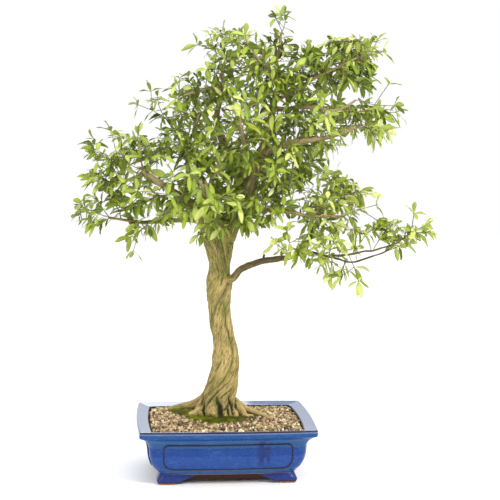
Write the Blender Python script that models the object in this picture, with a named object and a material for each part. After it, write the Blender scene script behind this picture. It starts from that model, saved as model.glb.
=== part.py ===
"""Pomegranate bonsai in a glazed oblong pot, at real size in metres, +Z up.

The ground is at Z = 0 and the middle of the whole plant's box is at the origin. Sizes and places are
written in millimetres, measured from the middle of the pot on the ground, and turned into metres once.
The pot, its two drain screens, the soil, the gravel, the moss, the tree and each leafy spray are
separate solids. The tree stands in a plain hole in the gravel and the soil.
"""
import math

import bmesh
import bpy
import numpy as np
from mathutils import Matrix, Vector
from mathutils.bvhtree import BVHTree

MM = 0.001
SEAT_GAP = 0.3
SLIVER = 0.01
SEED = 23

# The middle of the pot, seen from the middle of the whole plant's box
POT_X = -41.0
POT_Y = -18.7

# Pot: rim outline, then the wall as inset from that outline, height and corner radius
RIM_LENGTH = 300.0
RIM_DEPTH = 230.0
SIDE_BOW = 4.0
OUTER_WALL = [(34, 17, 14), (29.5, 23.5, 14), (24, 31, 13), (19.2, 43.5, 12), (17.2, 55, 12),
              (16.6, 64, 12), (13.4, 74.5, 11), (7.5, 82, 9), (1, 86.5, 7), (0, 89, 6), (0, 96, 6)]
RIM_TOP = [(1.5, 98.4, 5), (4.5, 98, 4)]
INNER_WALL = [(21, 93.5, 4), (22, 90, 4), (22.5, 78, 5), (25, 64, 7), (26.5, 45, 8), (32, 32, 9), (40, 25, 9)]
CORNER_STEPS = 4
SIDE_STEPS = 3
FLOOR_HEIGHT = INNER_WALL[-1][1]

# Feet: height, inset of the outer corner, length of the long arm and of the short arm
FOOT_LEVELS = [(0, 32.6, 30, 26), (2.5, 31.4, 33, 28), (6, 30, 43, 34), (10.5, 31.5, 55, 41),
               (14.5, 33.3, 63, 45), (17.2, 34.4, 67, 47), (19.5, 37, 64, 45)]
FOOT_THICKNESS = 15.0
FOOT_ROUNDING = 6.0

# Raised bead that frames the panel on each side
PANEL_LOW = 28.0
PANEL_HIGH = 72.6
PANEL_MARGIN = 41.0
PANEL_TOP_RADIUS = 9.0
PANEL_FOOT_RADIUS = 17.0
BEAD_RADIUS = 1.3
BEAD_STANDOFF = 0.45

# Drainage and what fills the pot
DRAIN_RADIUS = 11.0
DRAIN_X = 62.0
SCREEN_SIZE = 40.0
SCREEN_THICKNESS = 1.2
SCREEN_CELLS = 5
SOIL_TOP = 84.0
GRAVEL_EDGE = 89.5
GRAVEL_TOP = 94.0
GRAVEL_SLOPE_WIDTH = 24.0
GRAVEL_RELIEF = 1.8
GRAVEL_RINGS = 8

# Trunk: height, middle in X, half width in X, half width in Y, bottom to top
TRUNK_Y = 30.0
TRUNK = [(94.3, -10, 40, 40), (106, -11, 38, 37), (125, -9, 32.5, 32), (142, -5, 29.5, 29), (162, 0, 27.5, 27),
         (186, 4, 25.5, 25), (210, 3, 23, 23), (231, 0, 21, 21), (255, -4.5, 20.5, 20), (274, -7, 19, 20),
         (294, -8, 20.5, 20), (318, -8, 23, 20), (334, -8, 23.5, 20), (353, -8, 18, 18), (365, -8.5, 18, 18),
         (389, -9.5, 23, 20), (410, -10.5, 29, 21), (428, -11, 33, 22), (442, -9, 26, 18)]
TRUNK_SIDES = 15
TRUNK_LOBES = 3
TRUNK_TWIST = math.radians(0.75)
LOBE_DEPTH = 0.26
PLUG_RADIUS = 30.0
PLUG_FOOT_RADIUS = 26.0
PLUG_FOOT = 62.0

# Surface roots: x, y, z and radius along each, from inside the trunk to the tip
ROOT_UNDERSIDE = 94.4
ROOTS = {
    "ridge": [(-25, 45, 118, 12), (-48, 62, 104, 8), (-72, 72, 98, 5), (-97, 66, 95, 3)],
    "toe": [(-16, 20, 118, 14), (-20, 4, 104, 12), (-24, -8, 97, 7)],
    "hook": [(8, 16, 108, 7), (20, 6, 99, 5), (21, -6, 95.5, 2.6)],
    "heel": [(20, 28, 112, 9), (33, 16, 100, 6.5), (38, 2, 96, 4), (52, -2, 95, 3)],
    "long": [(18, 40, 112, 10), (42, 34, 100, 6), (62, 14, 96.5, 4.4), (77, -8, 95, 3)],
    "left": [(-28, 26, 112, 11), (-45, 16, 100, 7), (-62, 10, 95.5, 4)],
    "rear_left": [(-22, 52, 112, 11), (-34, 66, 100, 7), (-44, 79, 96, 4)],
    "rear": [(-4, 54, 112, 11), (3, 68, 100, 7), (10, 81, 96, 4)],
}

# Moss mound: outline on the gravel, walked round the trunk, and its height
MOSS_OUTLINE = [(-108, 84), (-104, 48), (-84, 6), (-56, -40), (-12, -58), (34, -46), (70, -14), (74, 22),
                (52, 44), (10, 20), (-40, 30), (-66, 84)]
MOSS_HEIGHT = 3.6
MOSS_STEPS = 2
MOSS_EDGE_POINTS = 18
MOSS_CLEARANCE = 1.2

# Limbs: x, y, z and radius along each, from inside what carries it to its end
LIMBS = {
    "arm": [(-4, 22, 334, 8), (14, 16, 340, 6.5), (26, 6, 356, 5.6), (42, -10, 366, 5.2), (62, -26, 375, 5),
            (88, -42, 380, 4.8), (114, -50, 386, 4.3), (132, -48, 398, 4), (144, -38, 420, 3.4), (158, -22, 455, 2.6)],
    "arm_stub": [(62, -26, 374, 2.6), (64, -29, 386, 2)],
    "shoot_high": [(130, -48, 396, 3), (162, -60, 388, 2.5), (196, -72, 390, 2.2), (226, -80, 396, 2),
                   (256, -88, 403, 1.8), (284, -92, 414, 1.6)],
    "shoot_low": [(160, -60, 388, 2.2), (188, -58, 382, 2), (212, -56, 377, 1.9), (246, -58, 386, 1.7),
                  (276, -64, 398, 1.5)],
    "low_left": [(-30, 26, 430, 7), (-52, 32, 440, 5), (-80, 38, 440, 4.2), (-112, 40, 438, 3.8),
                 (-138, 36, 436, 3.4), (-166, 26, 440, 3), (-200, 10, 446, 2.4)],
    "fork_left": [(-16, 26, 412, 17), (-38, 20, 448, 11.5), (-64, 10, 474, 7.5), (-92, -8, 492, 6),
                  (-122, -24, 512, 5), (-146, -34, 530, 4.2)],
    "fork_right": [(0, 25, 412, 18), (20, 30, 450, 13), (26, 32, 486, 10.5), (25, 40, 520, 9), (16, 46, 548, 7.5),
                   (-4, 50, 580, 6.2), (-14, 48, 615, 5.2), (-10, 38, 646, 4.5), (-5, 28, 674, 4), (-10, 18, 712, 2.8)],
    "right_main": [(18, 26, 446, 12), (36, 16, 492, 10.5), (50, 5, 530, 9.5), (68, -6, 560, 8.2), (96, -18, 574, 6.2),
                   (130, -30, 580, 5), (162, -40, 586, 4.2), (190, -48, 595, 3.4), (216, -50, 606, 2.6)],
    "leader": [(56, 0, 545, 8), (68, 4, 585, 6.6), (76, 10, 616, 5.8), (84, 18, 646, 5), (89, 22, 678, 4.4),
               (86, 21, 710, 3.7), (92, 20, 742, 3), (95, 16, 768, 2.2)],
    "right_high_back": [(70, 6, 592, 5), (104, 30, 606, 4.2), (136, 52, 611, 3.8), (168, 72, 615, 3.4),
                        (202, 90, 620, 3), (236, 104, 630, 2.4)],
    "right_mid_front": [(82, 15, 636, 4.8), (106, 0, 636, 4.2), (126, -20, 640, 3.8), (146, -42, 638, 3.4),
                        (166, -62, 632, 3), (186, -78, 636, 2.6), (206, -88, 650, 2.2)],
    "right_top": [(86, 20, 668, 4), (114, 38, 681, 3.4), (146, 54, 692, 3), (180, 62, 701, 2.7), (212, 62, 712, 2.3)],
    "right_top_front": [(84, 18, 650, 4.2), (116, -4, 668, 3.6), (150, -24, 690, 3), (184, -40, 706, 2.6),
                        (214, -50, 722, 2.2)],
    "top_front": [(88, 21, 690, 3.6), (72, -14, 700, 3), (52, -50, 712, 2.6), (36, -78, 728, 2.2)],
    "top_back": [(86, 20, 700, 3.4), (70, 58, 712, 3), (52, 96, 722, 2.4)],
    "top_left": [(-5, 30, 668, 3.6), (-30, 10, 670, 3), (-55, -10, 661, 2.7), (-76, -28, 656, 2.3)],
    "left_up": [(-70, 6, 478, 6), (-67, 18, 505, 4.4), (-66, 30, 532, 4), (-72, 40, 565, 3.4), (-86, 46, 592, 2.8),
                (-102, 46, 616, 2.3)],
    "left_up_front": [(-68, 33, 546, 3.6), (-64, 10, 576, 2.8), (-55, -10, 605, 2.4), (-50, -26, 626, 2)],
    "right_low": [(12, 24, 440, 8), (46, -4, 456, 5), (76, -28, 464, 4.4), (106, -44, 461, 4), (132, -52, 456, 3.5),
                  (162, -60, 455, 3), (196, -62, 456, 2.4)],
    "right_low_back": [(26, 30, 470, 8), (60, 50, 495, 5), (94, 70, 509, 4.2), (126, 90, 515, 3.4), (160, 110, 516, 2.6)],
    "back_left": [(-28, 30, 438, 8), (-55, 68, 468, 5.4), (-86, 98, 486, 4), (-120, 120, 500, 2.8)],
    "front_centre": [(-10, 16, 424, 9), (-24, -30, 462, 5.6), (-40, -64, 494, 4.2), (-50, -92, 516, 3)],
    "back_centre": [(26, 36, 500, 7), (20, 74, 534, 5), (10, 104, 564, 3.8), (4, 126, 590, 2.8)],
    "front_mid": [(48, 0, 522, 7), (32, -40, 560, 4.8), (20, -70, 590, 3.6), (14, -92, 616, 2.6)],
    "back_right": [(64, 0, 562, 6), (90, 44, 570, 4.2), (120, 84, 571, 3.4), (146, 110, 572, 2.6)],
}
LIMB_SIDE_LEVEL = 1

# Sprays: limb, share of its length, heading and length of the main shoot
SPRAYS = [
    ("arm", 1.0, (0.3, 0.5, 0.8), 62), ("arm", 0.62, (-0.1, -0.5, 0.6), 60),
    ("shoot_high", 1.0, (0.9, -0.1, 0.45), 52), ("shoot_high", 0.45, (0.1, -0.6, -0.6), 58),
    ("shoot_low", 1.0, (0.8, 0.5, 0.2), 44),
    ("low_left", 1.0, (-0.9, -0.1, 0.2), 46), ("low_left", 0.62, (-0.3, 0.4, -0.25), 60),
    ("fork_left", 1.0, (-0.9, 0.0, 0.35), 84), ("fork_left", 0.72, (-0.5, -0.7, -0.1), 74),
    ("left_up", 1.0, (-0.8, 0.1, 0.35), 56), ("left_up", 0.5, (-0.7, 0.6, 0.3), 84),
    ("left_up_front", 1.0, (-0.6, -0.6, 0.3), 58),
    ("back_left", 1.0, (-0.7, 0.6, 0.2), 70), ("back_left", 0.66, (-0.1, 0.8, -0.2), 66),
    ("front_centre", 1.0, (-0.4, -0.8, 0.2), 58), ("front_centre", 0.66, (0.7, -0.7, 0.0), 62),
    ("back_centre", 1.0, (-0.3, 0.8, 0.3), 64), ("front_mid", 1.0, (0.1, -0.8, 0.4), 56),
    ("front_mid", 0.6, (-0.8, -0.4, 0.2), 58),
    ("fork_right", 1.0, (-0.25, -0.1, 0.9), 52), ("fork_right", 0.72, (-0.6, 0.7, 0.3), 74),
    ("top_left", 1.0, (-0.7, -0.3, 0.3), 42), ("top_front", 1.0, (-0.2, -0.6, 0.3), 52),
    ("top_back", 1.0, (-0.3, 0.8, 0.2), 56), ("leader", 1.0, (-0.2, 0.0, 1.0), 32),
    ("right_top", 1.0, (0.6, 0.5, 0.35), 46), ("right_top_front", 1.0, (0.75, -0.3, 0.2), 44),
    ("right_high_back", 1.0, (0.9, 0.3, 0.05), 52), ("right_high_back", 0.5, (0.2, 0.9, 0.2), 66),
    ("right_mid_front", 1.0, (0.8, -0.3, -0.1), 66), ("right_mid_front", 0.6, (0.1, -0.8, -0.2), 54),
    ("right_main", 1.0, (0.9, -0.2, -0.2), 52), ("right_main", 0.6, (0.3, -0.6, 0.5), 56),
    ("back_right", 1.0, (0.5, 0.8, -0.1), 60),
    ("right_low", 1.0, (0.9, -0.1, 0.3), 56), ("right_low", 0.5, (0.3, 0.2, 0.7), 60),
    ("right_low_back", 1.0, (0.6, 0.7, 0.1), 58),
    ("fork_right", 0.36, (0.3, -0.9, 0.2), 56), ("fork_right", 0.52, (-0.6, -0.6, 0.3), 54),
    ("right_main", 0.34, (0.7, -0.7, -0.2), 50), ("right_main", 0.82, (0.2, 0.5, 0.6), 46),
    ("leader", 0.3, (0.3, -0.9, 0.2), 50), ("leader", 0.5, (-0.8, -0.4, 0.2), 54),
    ("leader", 0.78, (-0.6, 0.4, 0.4), 44), ("right_top", 0.55, (0.2, -0.5, 0.6), 44),
    ("top_left", 0.45, (0.1, -0.6, 0.7), 44), ("low_left", 0.85, (-0.2, -0.6, 0.5), 50),
    ("right_low", 0.76, (0.2, -0.6, 0.5), 50), ("shoot_high", 0.72, (0.3, 0.4, 0.8), 40),
]
SHOOT_HALF_WIDTH = 1.0
NODE_LENGTH = 2.2
SIDE_SHOOT_SHARE = 0.62
LEAF_LENGTH = (19.0, 29.0)
LEAF_HALF_WIDTH = (3.5, 4.7)
LEAF_HALF_THICKNESS = 0.36
LEAF_WIDEST = 0.5
LEAF_TIP_WIDTH = 0.32
LEAF_SAG = 0.22
LEAF_BEND = math.radians(52)
LEAF_ROLL = math.radians(18)
LEAF_SAMPLES = [(0.25, 0.6), (0.38, 0.8), (0.5, 1.0), (0.62, 0.85), (0.75, 0.7), (0.88, 0.5), (1.0, 0.32)]
BUTT_HEIGHT = 2.0
SHOOT_BEND = math.radians(50)
SHOOT_JOINTS = 2
END_LEAF_CHANCE = 0.5
SIDE_LEAF_CHANCE = 0.72
LEAF_TRIES = 6
SHOOT_TRIES = 24
LEAF_SPACE = 2.9
WOOD_SPACE = 2.2


class GrowingRoom:
    """What new leaves and shoots keep clear of: the wood, and all that has grown so far."""

    def __init__(self, wood):
        bm = bmesh.new()
        bm.from_mesh(wood)
        bmesh.ops.triangulate(bm, faces=bm.faces)
        self.bark = BVHTree.FromBMesh(bm)
        bm.free()
        self.grown = np.empty((0, 3))

    def is_free(self, points):
        """Whether sample points keep their distance from the wood and from every leaf and shoot."""
        if min(self.bark.find_nearest(Vector(point))[3] for point in points) < WOOD_SPACE:
            return False
        nearby = np.all((self.grown > points.min(axis=0) - LEAF_SPACE)
                        & (self.grown < points.max(axis=0) + LEAF_SPACE), axis=1)
        gaps = np.linalg.norm(self.grown[nearby][None, :, :] - points[:, None, :], axis=2)
        return gaps.size == 0 or bool(gaps.min() > LEAF_SPACE)

    def take(self, points):
        """Keep the sample points of something that has grown."""
        self.grown = np.vstack([self.grown, points])


def clear_scene():
    """Remove every object, so that the script starts from nothing."""
    for old in list(bpy.data.objects):
        bpy.data.objects.remove(old, do_unlink=True)


def make_material(name, colour, roughness):
    """A Principled material with a plain colour."""
    material = bpy.data.materials.new(name)
    material.use_nodes = True
    shader = material.node_tree.nodes["Principled BSDF"]
    shader.inputs["Base Color"].default_value = (*colour, 1.0)
    shader.inputs["Roughness"].default_value = roughness
    shader.inputs["Metallic"].default_value = 0.0
    return material


def add_object(name, mesh, material, collection, middle):
    """Put a mesh, whose points are in millimetres from the pot's middle, into the scene in metres."""
    mesh.transform(Matrix.Scale(MM, 4))
    mesh.materials.clear()
    mesh.materials.append(material)
    piece = bpy.data.objects.new(name, mesh)
    piece.parent = middle
    collection.objects.link(piece)
    return piece


def mesh_from(bm, name, turn_outwards=True):
    """Finish a bmesh as a mesh. Faces that may point inwards are turned round first."""
    if turn_outwards:
        bmesh.ops.recalc_face_normals(bm, faces=bm.faces)
    mesh = bpy.data.meshes.new(name)
    bm.to_mesh(mesh)
    bm.free()
    return mesh


def outline(half_x, half_y, radius, bow):
    """A rounded oblong, counter-clockwise, whose sides bulge outwards by the bow at their middles."""
    points = []
    straight_x = half_x - radius
    straight_y = half_y - radius
    for corner in range(4):
        start = corner * math.pi / 2
        sign_x = 1 if corner in (0, 3) else -1
        sign_y = 1 if corner in (0, 1) else -1
        for step in range(CORNER_STEPS):
            angle = start + step / (CORNER_STEPS - 1) * math.pi / 2
            points.append((sign_x * straight_x + radius * math.cos(angle),
                           sign_y * straight_y + radius * math.sin(angle)))
        for step in range(1, SIDE_STEPS + 1):
            share = 1 - 2 * step / (SIDE_STEPS + 1)
            bulge = bow * (1 - share * share)
            if corner % 2 == 0:
                points.append((sign_x * straight_x * share, sign_y * (half_y + bulge)))
            else:
                points.append((sign_x * (half_x + bulge), sign_y * straight_y * share))
    return points


def pot_ring(inset, height, radius, bow=SIDE_BOW):
    """One level of the pot's wall, inset from the rim's outline."""
    corners = outline(RIM_LENGTH / 2 - inset, RIM_DEPTH / 2 - inset, radius, bow)
    return [(x, y, height) for x, y in corners]


def loft(rings, name, wrapped=False):
    """Join rings of equally many points into one closed skin, capped at both ends or wrapped round."""
    bm = bmesh.new()
    levels = [[bm.verts.new(point) for point in ring] for ring in rings]
    pairs = list(zip(levels, levels[1:]))
    if wrapped:
        pairs.append((levels[-1], levels[0]))
    else:
        bm.faces.new(list(reversed(levels[0])))
        bm.faces.new(levels[-1])
    for lower, upper in pairs:
        count = len(lower)
        for index in range(count):
            following = (index + 1) % count
            bm.faces.new((lower[index], lower[following], upper[following], upper[index]))
    return mesh_from(bm, name)


def smooth_route(points, count):
    """Read count points at even parameter steps from the smooth curve through the route's own points."""
    knots = np.array(points, dtype=float)
    padded = np.vstack([2 * knots[0] - knots[1], knots, 2 * knots[-1] - knots[-2]])
    spans = len(knots) - 1
    along = np.linspace(0, spans, count)
    span = np.minimum(along.astype(int), spans - 1)
    share = (along - span)[:, None]
    before, start, end, after = (padded[span + step] for step in range(4))
    return 0.5 * (2 * start + (end - before) * share
                  + (2 * before - 5 * start + 4 * end - after) * share ** 2
                  + (3 * start - before - 3 * end + after) * share ** 3)


def tube_mesh(name, route, side_level, cyclic=False):
    """A tube along x, y, z and radius points, made by a bevelled curve, as one closed mesh."""
    curve = bpy.data.curves.new(name, "CURVE")
    curve.dimensions = "3D"
    curve.bevel_depth = 1.0
    curve.bevel_resolution = side_level
    curve.use_fill_caps = not cyclic
    spline = curve.splines.new("POLY")
    spline.points.add(len(route) - 1)
    for point, (x, y, z, radius) in zip(spline.points, route):
        point.co = (x, y, z, 1.0)
        point.radius = radius
    spline.use_cyclic_u = cyclic
    guide = bpy.data.objects.new(name, curve)
    bpy.context.scene.collection.objects.link(guide)
    depsgraph = bpy.context.evaluated_depsgraph_get()
    mesh = bpy.data.meshes.new_from_object(guide.evaluated_get(depsgraph))
    bpy.data.objects.remove(guide, do_unlink=True)
    bm = bmesh.new()
    bm.from_mesh(mesh)
    bmesh.ops.remove_doubles(bm, verts=bm.verts, dist=0.01)
    bpy.data.meshes.remove(mesh)
    return mesh_from(bm, name)


def combine(name, base, others, operation, solver="EXACT"):
    """One Boolean of a collection of meshes with a base mesh, applied, with its helpers removed."""
    helpers = bpy.data.collections.new(name + "_helpers")
    bpy.context.scene.collection.children.link(helpers)
    for number, mesh in enumerate(others):
        helpers.objects.link(bpy.data.objects.new(f"{name}_helper_{number}", mesh))
    target = bpy.data.objects.new(name + "_base", base)
    bpy.context.scene.collection.objects.link(target)
    boolean = target.modifiers.new(operation.lower(), "BOOLEAN")
    boolean.operation = operation
    boolean.operand_type = "COLLECTION"
    boolean.collection = helpers
    boolean.solver = solver
    depsgraph = bpy.context.evaluated_depsgraph_get()
    result = bpy.data.meshes.new_from_object(target.evaluated_get(depsgraph))
    for helper in list(helpers.objects):
        bpy.data.objects.remove(helper, do_unlink=True)
    bpy.data.objects.remove(target, do_unlink=True)
    bpy.data.collections.remove(helpers)
    bm = bmesh.new()
    bm.from_mesh(result)
    bpy.data.meshes.remove(result)
    bmesh.ops.remove_doubles(bm, verts=bm.verts, dist=SLIVER)
    bmesh.ops.dissolve_degenerate(bm, edges=bm.edges, dist=SLIVER)
    return mesh_from(bm, name)


def box_mesh(name, middle, size):
    """A box from the cube primitive."""
    bm = bmesh.new()
    matrix = Matrix.Translation(middle) @ Matrix.Diagonal((*size, 1.0))
    bmesh.ops.create_cube(bm, size=1.0, matrix=matrix)
    return mesh_from(bm, name)


def cylinder_mesh(name, middle, radius, depth, sides):
    """An upright cylinder from the cone primitive."""
    bm = bmesh.new()
    bmesh.ops.create_cone(bm, cap_ends=True, segments=sides, radius1=radius, radius2=radius, depth=depth,
                          matrix=Matrix.Translation(middle))
    return mesh_from(bm, name)


def wall_inset(height):
    """How far the pot's outer wall stands inside the rim's outline at a height."""
    heights = [level[1] for level in OUTER_WALL]
    insets = [level[0] for level in OUTER_WALL]
    return float(np.interp(height, heights, insets))


def foot_mesh(sign_x, sign_y):
    """One bracket foot: two arms round a corner, whose lower edge sweeps up to the pot's base."""
    rings = []
    for height, inset, long_arm, short_arm in FOOT_LEVELS:
        corner_x = RIM_LENGTH / 2 - inset
        corner_y = RIM_DEPTH / 2 - inset
        soft = FOOT_ROUNDING
        plan = [(corner_x - soft, corner_y), (corner_x - long_arm, corner_y),
                (corner_x - long_arm, corner_y - FOOT_THICKNESS),
                (corner_x - FOOT_THICKNESS, corner_y - FOOT_THICKNESS),
                (corner_x - FOOT_THICKNESS, corner_y - short_arm), (corner_x, corner_y - short_arm),
                (corner_x, corner_y - soft), (corner_x - 0.3 * soft, corner_y - 0.3 * soft)]
        rings.append([(sign_x * x, sign_y * y, height) for x, y in plan])
    return loft(rings, "foot")


def bead_route(along_x, side):
    """The panel's frame on one side: a rounded oblong that lies on the curved wall."""
    half_outer = (RIM_LENGTH if along_x else RIM_DEPTH) / 2
    half_panel = half_outer - PANEL_MARGIN
    corners = [(1, 1, PANEL_TOP_RADIUS, PANEL_HIGH), (-1, 1, PANEL_TOP_RADIUS, PANEL_HIGH),
               (-1, -1, PANEL_FOOT_RADIUS, PANEL_LOW), (1, -1, PANEL_FOOT_RADIUS, PANEL_LOW)]
    flat = []
    for number, (sign_u, sign_v, radius, level) in enumerate(corners):
        centre_u = sign_u * (half_panel - radius)
        centre_v = level - sign_v * radius
        for step in range(4):
            angle = (number + step / 3) * math.pi / 2
            flat.append((centre_u + radius * math.cos(angle), centre_v + radius * math.sin(angle)))
        if number % 2 == 0:
            flat += [(sign_u * share * half_panel, level) for share in (0.5, 0.0, -0.5)]
        else:
            flat.append((sign_u * half_panel, (PANEL_LOW + PANEL_HIGH) / 2))
    route = []
    for u, height in flat:
        inset = wall_inset(height)
        across = (RIM_DEPTH if along_x else RIM_LENGTH) / 2 - inset
        share = u / (half_outer - inset)
        across += SIDE_BOW * (1 - share * share) + BEAD_STANDOFF
        x, y = (u, side * across) if along_x else (side * across, u)
        route.append((x, y, height, BEAD_RADIUS))
    return route


def build_pot():
    """Wall, rim and floor in one skin, with four feet, four panel beads and two drain holes."""
    rings = [pot_ring(*level) for level in OUTER_WALL + RIM_TOP + INNER_WALL]
    shell = loft(rings, "pot_shell")
    extras = [foot_mesh(sign_x, sign_y) for sign_x in (1, -1) for sign_y in (1, -1)]
    extras += [tube_mesh("bead", bead_route(along_x, side), 0, cyclic=True)
               for along_x in (True, False) for side in (1, -1)]
    body = combine("pot", shell, extras, "UNION")
    drains = [cylinder_mesh("drain", (side * DRAIN_X, 0, FLOOR_HEIGHT), DRAIN_RADIUS, 30, 16) for side in (1, -1)]
    return combine("pot_drained", body, drains, "DIFFERENCE")


def build_screen(side):
    """A plastic mesh square over one drain hole: a grid with open cells, thickened by Solidify."""
    bm = bmesh.new()
    bmesh.ops.create_grid(bm, x_segments=SCREEN_CELLS, y_segments=SCREEN_CELLS, size=SCREEN_SIZE / 2,
                          matrix=Matrix.Translation((side * DRAIN_X, 0, FLOOR_HEIGHT + SEAT_GAP)))
    cell = SCREEN_SIZE / SCREEN_CELLS
    open_cells = []
    for face in bm.faces:
        middle = face.calc_center_median()
        column = int((middle.x - side * DRAIN_X + SCREEN_SIZE / 2) / cell)
        row = int((middle.y + SCREEN_SIZE / 2) / cell)
        if column % 2 == 1 and row % 2 == 1:
            open_cells.append(face)
    bmesh.ops.delete(bm, geom=open_cells, context="FACES")
    sheet = bmesh.ops.extrude_face_region(bm, geom=list(bm.faces))
    raised = [item for item in sheet["geom"] if isinstance(item, bmesh.types.BMVert)]
    bmesh.ops.translate(bm, verts=raised, vec=(0, 0, SCREEN_THICKNESS))
    return mesh_from(bm, "screen")


def hole_ring(like, radius, height):
    """As many points round the planting hole as an outline has, from the bearing of its first one."""
    centre_x = TRUNK[0][1]
    start = math.atan2(like[0][1] - TRUNK_Y, like[0][0] - centre_x)
    ring = []
    for number in range(len(like)):
        bearing = start + 2 * math.pi * number / len(like)
        ring.append((centre_x + radius * math.cos(bearing), TRUNK_Y + radius * math.sin(bearing), height))
    return ring


def build_soil():
    """Soil that fills the pot to under the gravel, with the planting hole and a seat for each screen."""
    slack = 2 * SEAT_GAP
    rings = [pot_ring(40 + slack, FLOOR_HEIGHT + SEAT_GAP, 9)]
    rings += [pot_ring(inset + slack, height, radius) for inset, height, radius in INNER_WALL[-2:1:-1]]
    rings.append(pot_ring(22.3 + slack, SOIL_TOP, 5))
    hole = PLUG_RADIUS + 3 * SEAT_GAP
    rings.append(hole_ring(rings[-1], hole, SOIL_TOP))
    rings.append(hole_ring(rings[-1], hole, PLUG_FOOT - SEAT_GAP))
    soil = loft(rings, "soil")
    seat_depth = SCREEN_THICKNESS + 2 * SEAT_GAP
    seat_size = SCREEN_SIZE + 2 * SEAT_GAP
    seats = [box_mesh("seat", (side * DRAIN_X, 0, FLOOR_HEIGHT), (seat_size, seat_size, 2 * seat_depth))
             for side in (1, -1)]
    return combine("soil", soil, seats, "DIFFERENCE")


def build_gravel():
    """Top dressing: a bed that rises from the wall to a level middle, with low relief between."""
    rng = np.random.default_rng(SEED)
    slack = 2 * SEAT_GAP
    underside = SOIL_TOP + SEAT_GAP
    wall = pot_ring(22.1 + slack, GRAVEL_EDGE, 4)
    foot = pot_ring(22.3 + slack, underside, 4)
    hole = PLUG_RADIUS + 3 * SEAT_GAP
    inner = hole_ring(wall, hole, GRAVEL_TOP)
    rings = [foot, wall]
    for step in range(1, GRAVEL_RINGS):
        share = (step / GRAVEL_RINGS) ** 1.2
        ring = []
        for (wall_x, wall_y, _), (hole_x, hole_y, _) in zip(wall, inner):
            x = wall_x + (hole_x - wall_x) * share
            y = wall_y + (hole_y - wall_y) * share
            rise = min(1.0, math.hypot(x - wall_x, y - wall_y) / GRAVEL_SLOPE_WIDTH)
            level = GRAVEL_EDGE + (GRAVEL_TOP - GRAVEL_EDGE) * rise
            ring.append((x, y, level - GRAVEL_RELIEF * rng.random()))
        rings.append(ring)
    rings.append(inner)
    rings.append(hole_ring(wall, hole, underside))
    return loft(rings, "gravel", wrapped=True)


def trunk_station(height):
    """Middle and half widths of the trunk at a height, read between its stations."""
    heights = [station[0] for station in TRUNK]
    return [float(np.interp(height, heights, [station[part] for station in TRUNK])) for part in (1, 2, 3)]


def trunk_ring(height, spread=0.0):
    """One level of the trunk: an oval with lobes that wind round it as it climbs."""
    middle, half_x, half_y = trunk_station(height)
    turn = TRUNK_TWIST * (height - TRUNK[0][0])
    ring = []
    for side in range(TRUNK_SIDES):
        lobe_angle = 2 * math.pi * side / TRUNK_SIDES
        lobe = 1 + LOBE_DEPTH * (abs(math.cos(TRUNK_LOBES * lobe_angle / 2)) - 0.75)
        angle = lobe_angle + turn
        ring.append((middle + (half_x * lobe + spread) * math.cos(angle),
                     TRUNK_Y + (half_y * lobe + spread) * math.sin(angle), height))
    return ring


def plug_ring(radius, height):
    """One level of the plain root plug that stands in the planting hole."""
    return [(TRUNK[0][1] + radius * math.cos(2 * math.pi * side / TRUNK_SIDES),
             TRUNK_Y + radius * math.sin(2 * math.pi * side / TRUNK_SIDES), height) for side in range(TRUNK_SIDES)]


def trunk_mesh(spread=0.0):
    """The trunk and its plug, as one loft. The spread makes it fatter, to cut clearance for the moss."""
    rings = [plug_ring(PLUG_FOOT_RADIUS, PLUG_FOOT), plug_ring(PLUG_RADIUS, TRUNK[0][0] - spread)]
    flare = [trunk_ring(station[0], spread) for station in TRUNK]
    if spread:
        rings.append([(x, y, height - spread) for x, y, height in flare[0]])
    return loft(rings + flare, "trunk")


def root_meshes(spread=0.0):
    """Surface roots, each with a flat underside that lies on the gravel."""
    ground = box_mesh("ground", (0, TRUNK_Y, ROOT_UNDERSIDE - spread - 50), (400, 400, 100))
    roots = []
    for name, points in ROOTS.items():
        route = smooth_route(points, len(points) + 2)
        reach = route[-1, :3] - route[-2, :3]
        route[-1, :3] += reach * spread / np.linalg.norm(reach)
        route[:, 3] += spread
        tube = tube_mesh("root_" + name, route, LIMB_SIDE_LEVEL)
        roots.append(combine("cut_" + name, tube, [ground.copy()], "DIFFERENCE"))
    return roots


def limb_route(name):
    """The smooth route of a limb, as x, y, z and radius."""
    points = LIMBS[name]
    return smooth_route(points, len(points) + (1 if len(points) > 3 else 0))


def build_tree():
    """Trunk, surface roots and limbs, grown together as one solid."""
    limbs = [tube_mesh("limb_" + name, limb_route(name), LIMB_SIDE_LEVEL) for name in LIMBS]
    return combine("tree", trunk_mesh(), root_meshes() + limbs, "UNION")


def largest_body(mesh):
    """Keep the biggest of a mesh's separate bodies and drop the scraps."""
    bm = bmesh.new()
    bm.from_mesh(mesh)
    unseen = set(bm.verts)
    bodies = []
    while unseen:
        body = {unseen.pop()}
        edge_of_search = list(body)
        while edge_of_search:
            vert = edge_of_search.pop()
            for edge in vert.link_edges:
                other = edge.other_vert(vert)
                if other in unseen:
                    unseen.remove(other)
                    body.add(other)
                    edge_of_search.append(other)
        bodies.append(body)
    bodies.sort(key=len)
    for scrap in bodies[:-1]:
        bmesh.ops.delete(bm, geom=list(scrap), context="VERTS")
    return mesh_from(bm, mesh.name)


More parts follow.
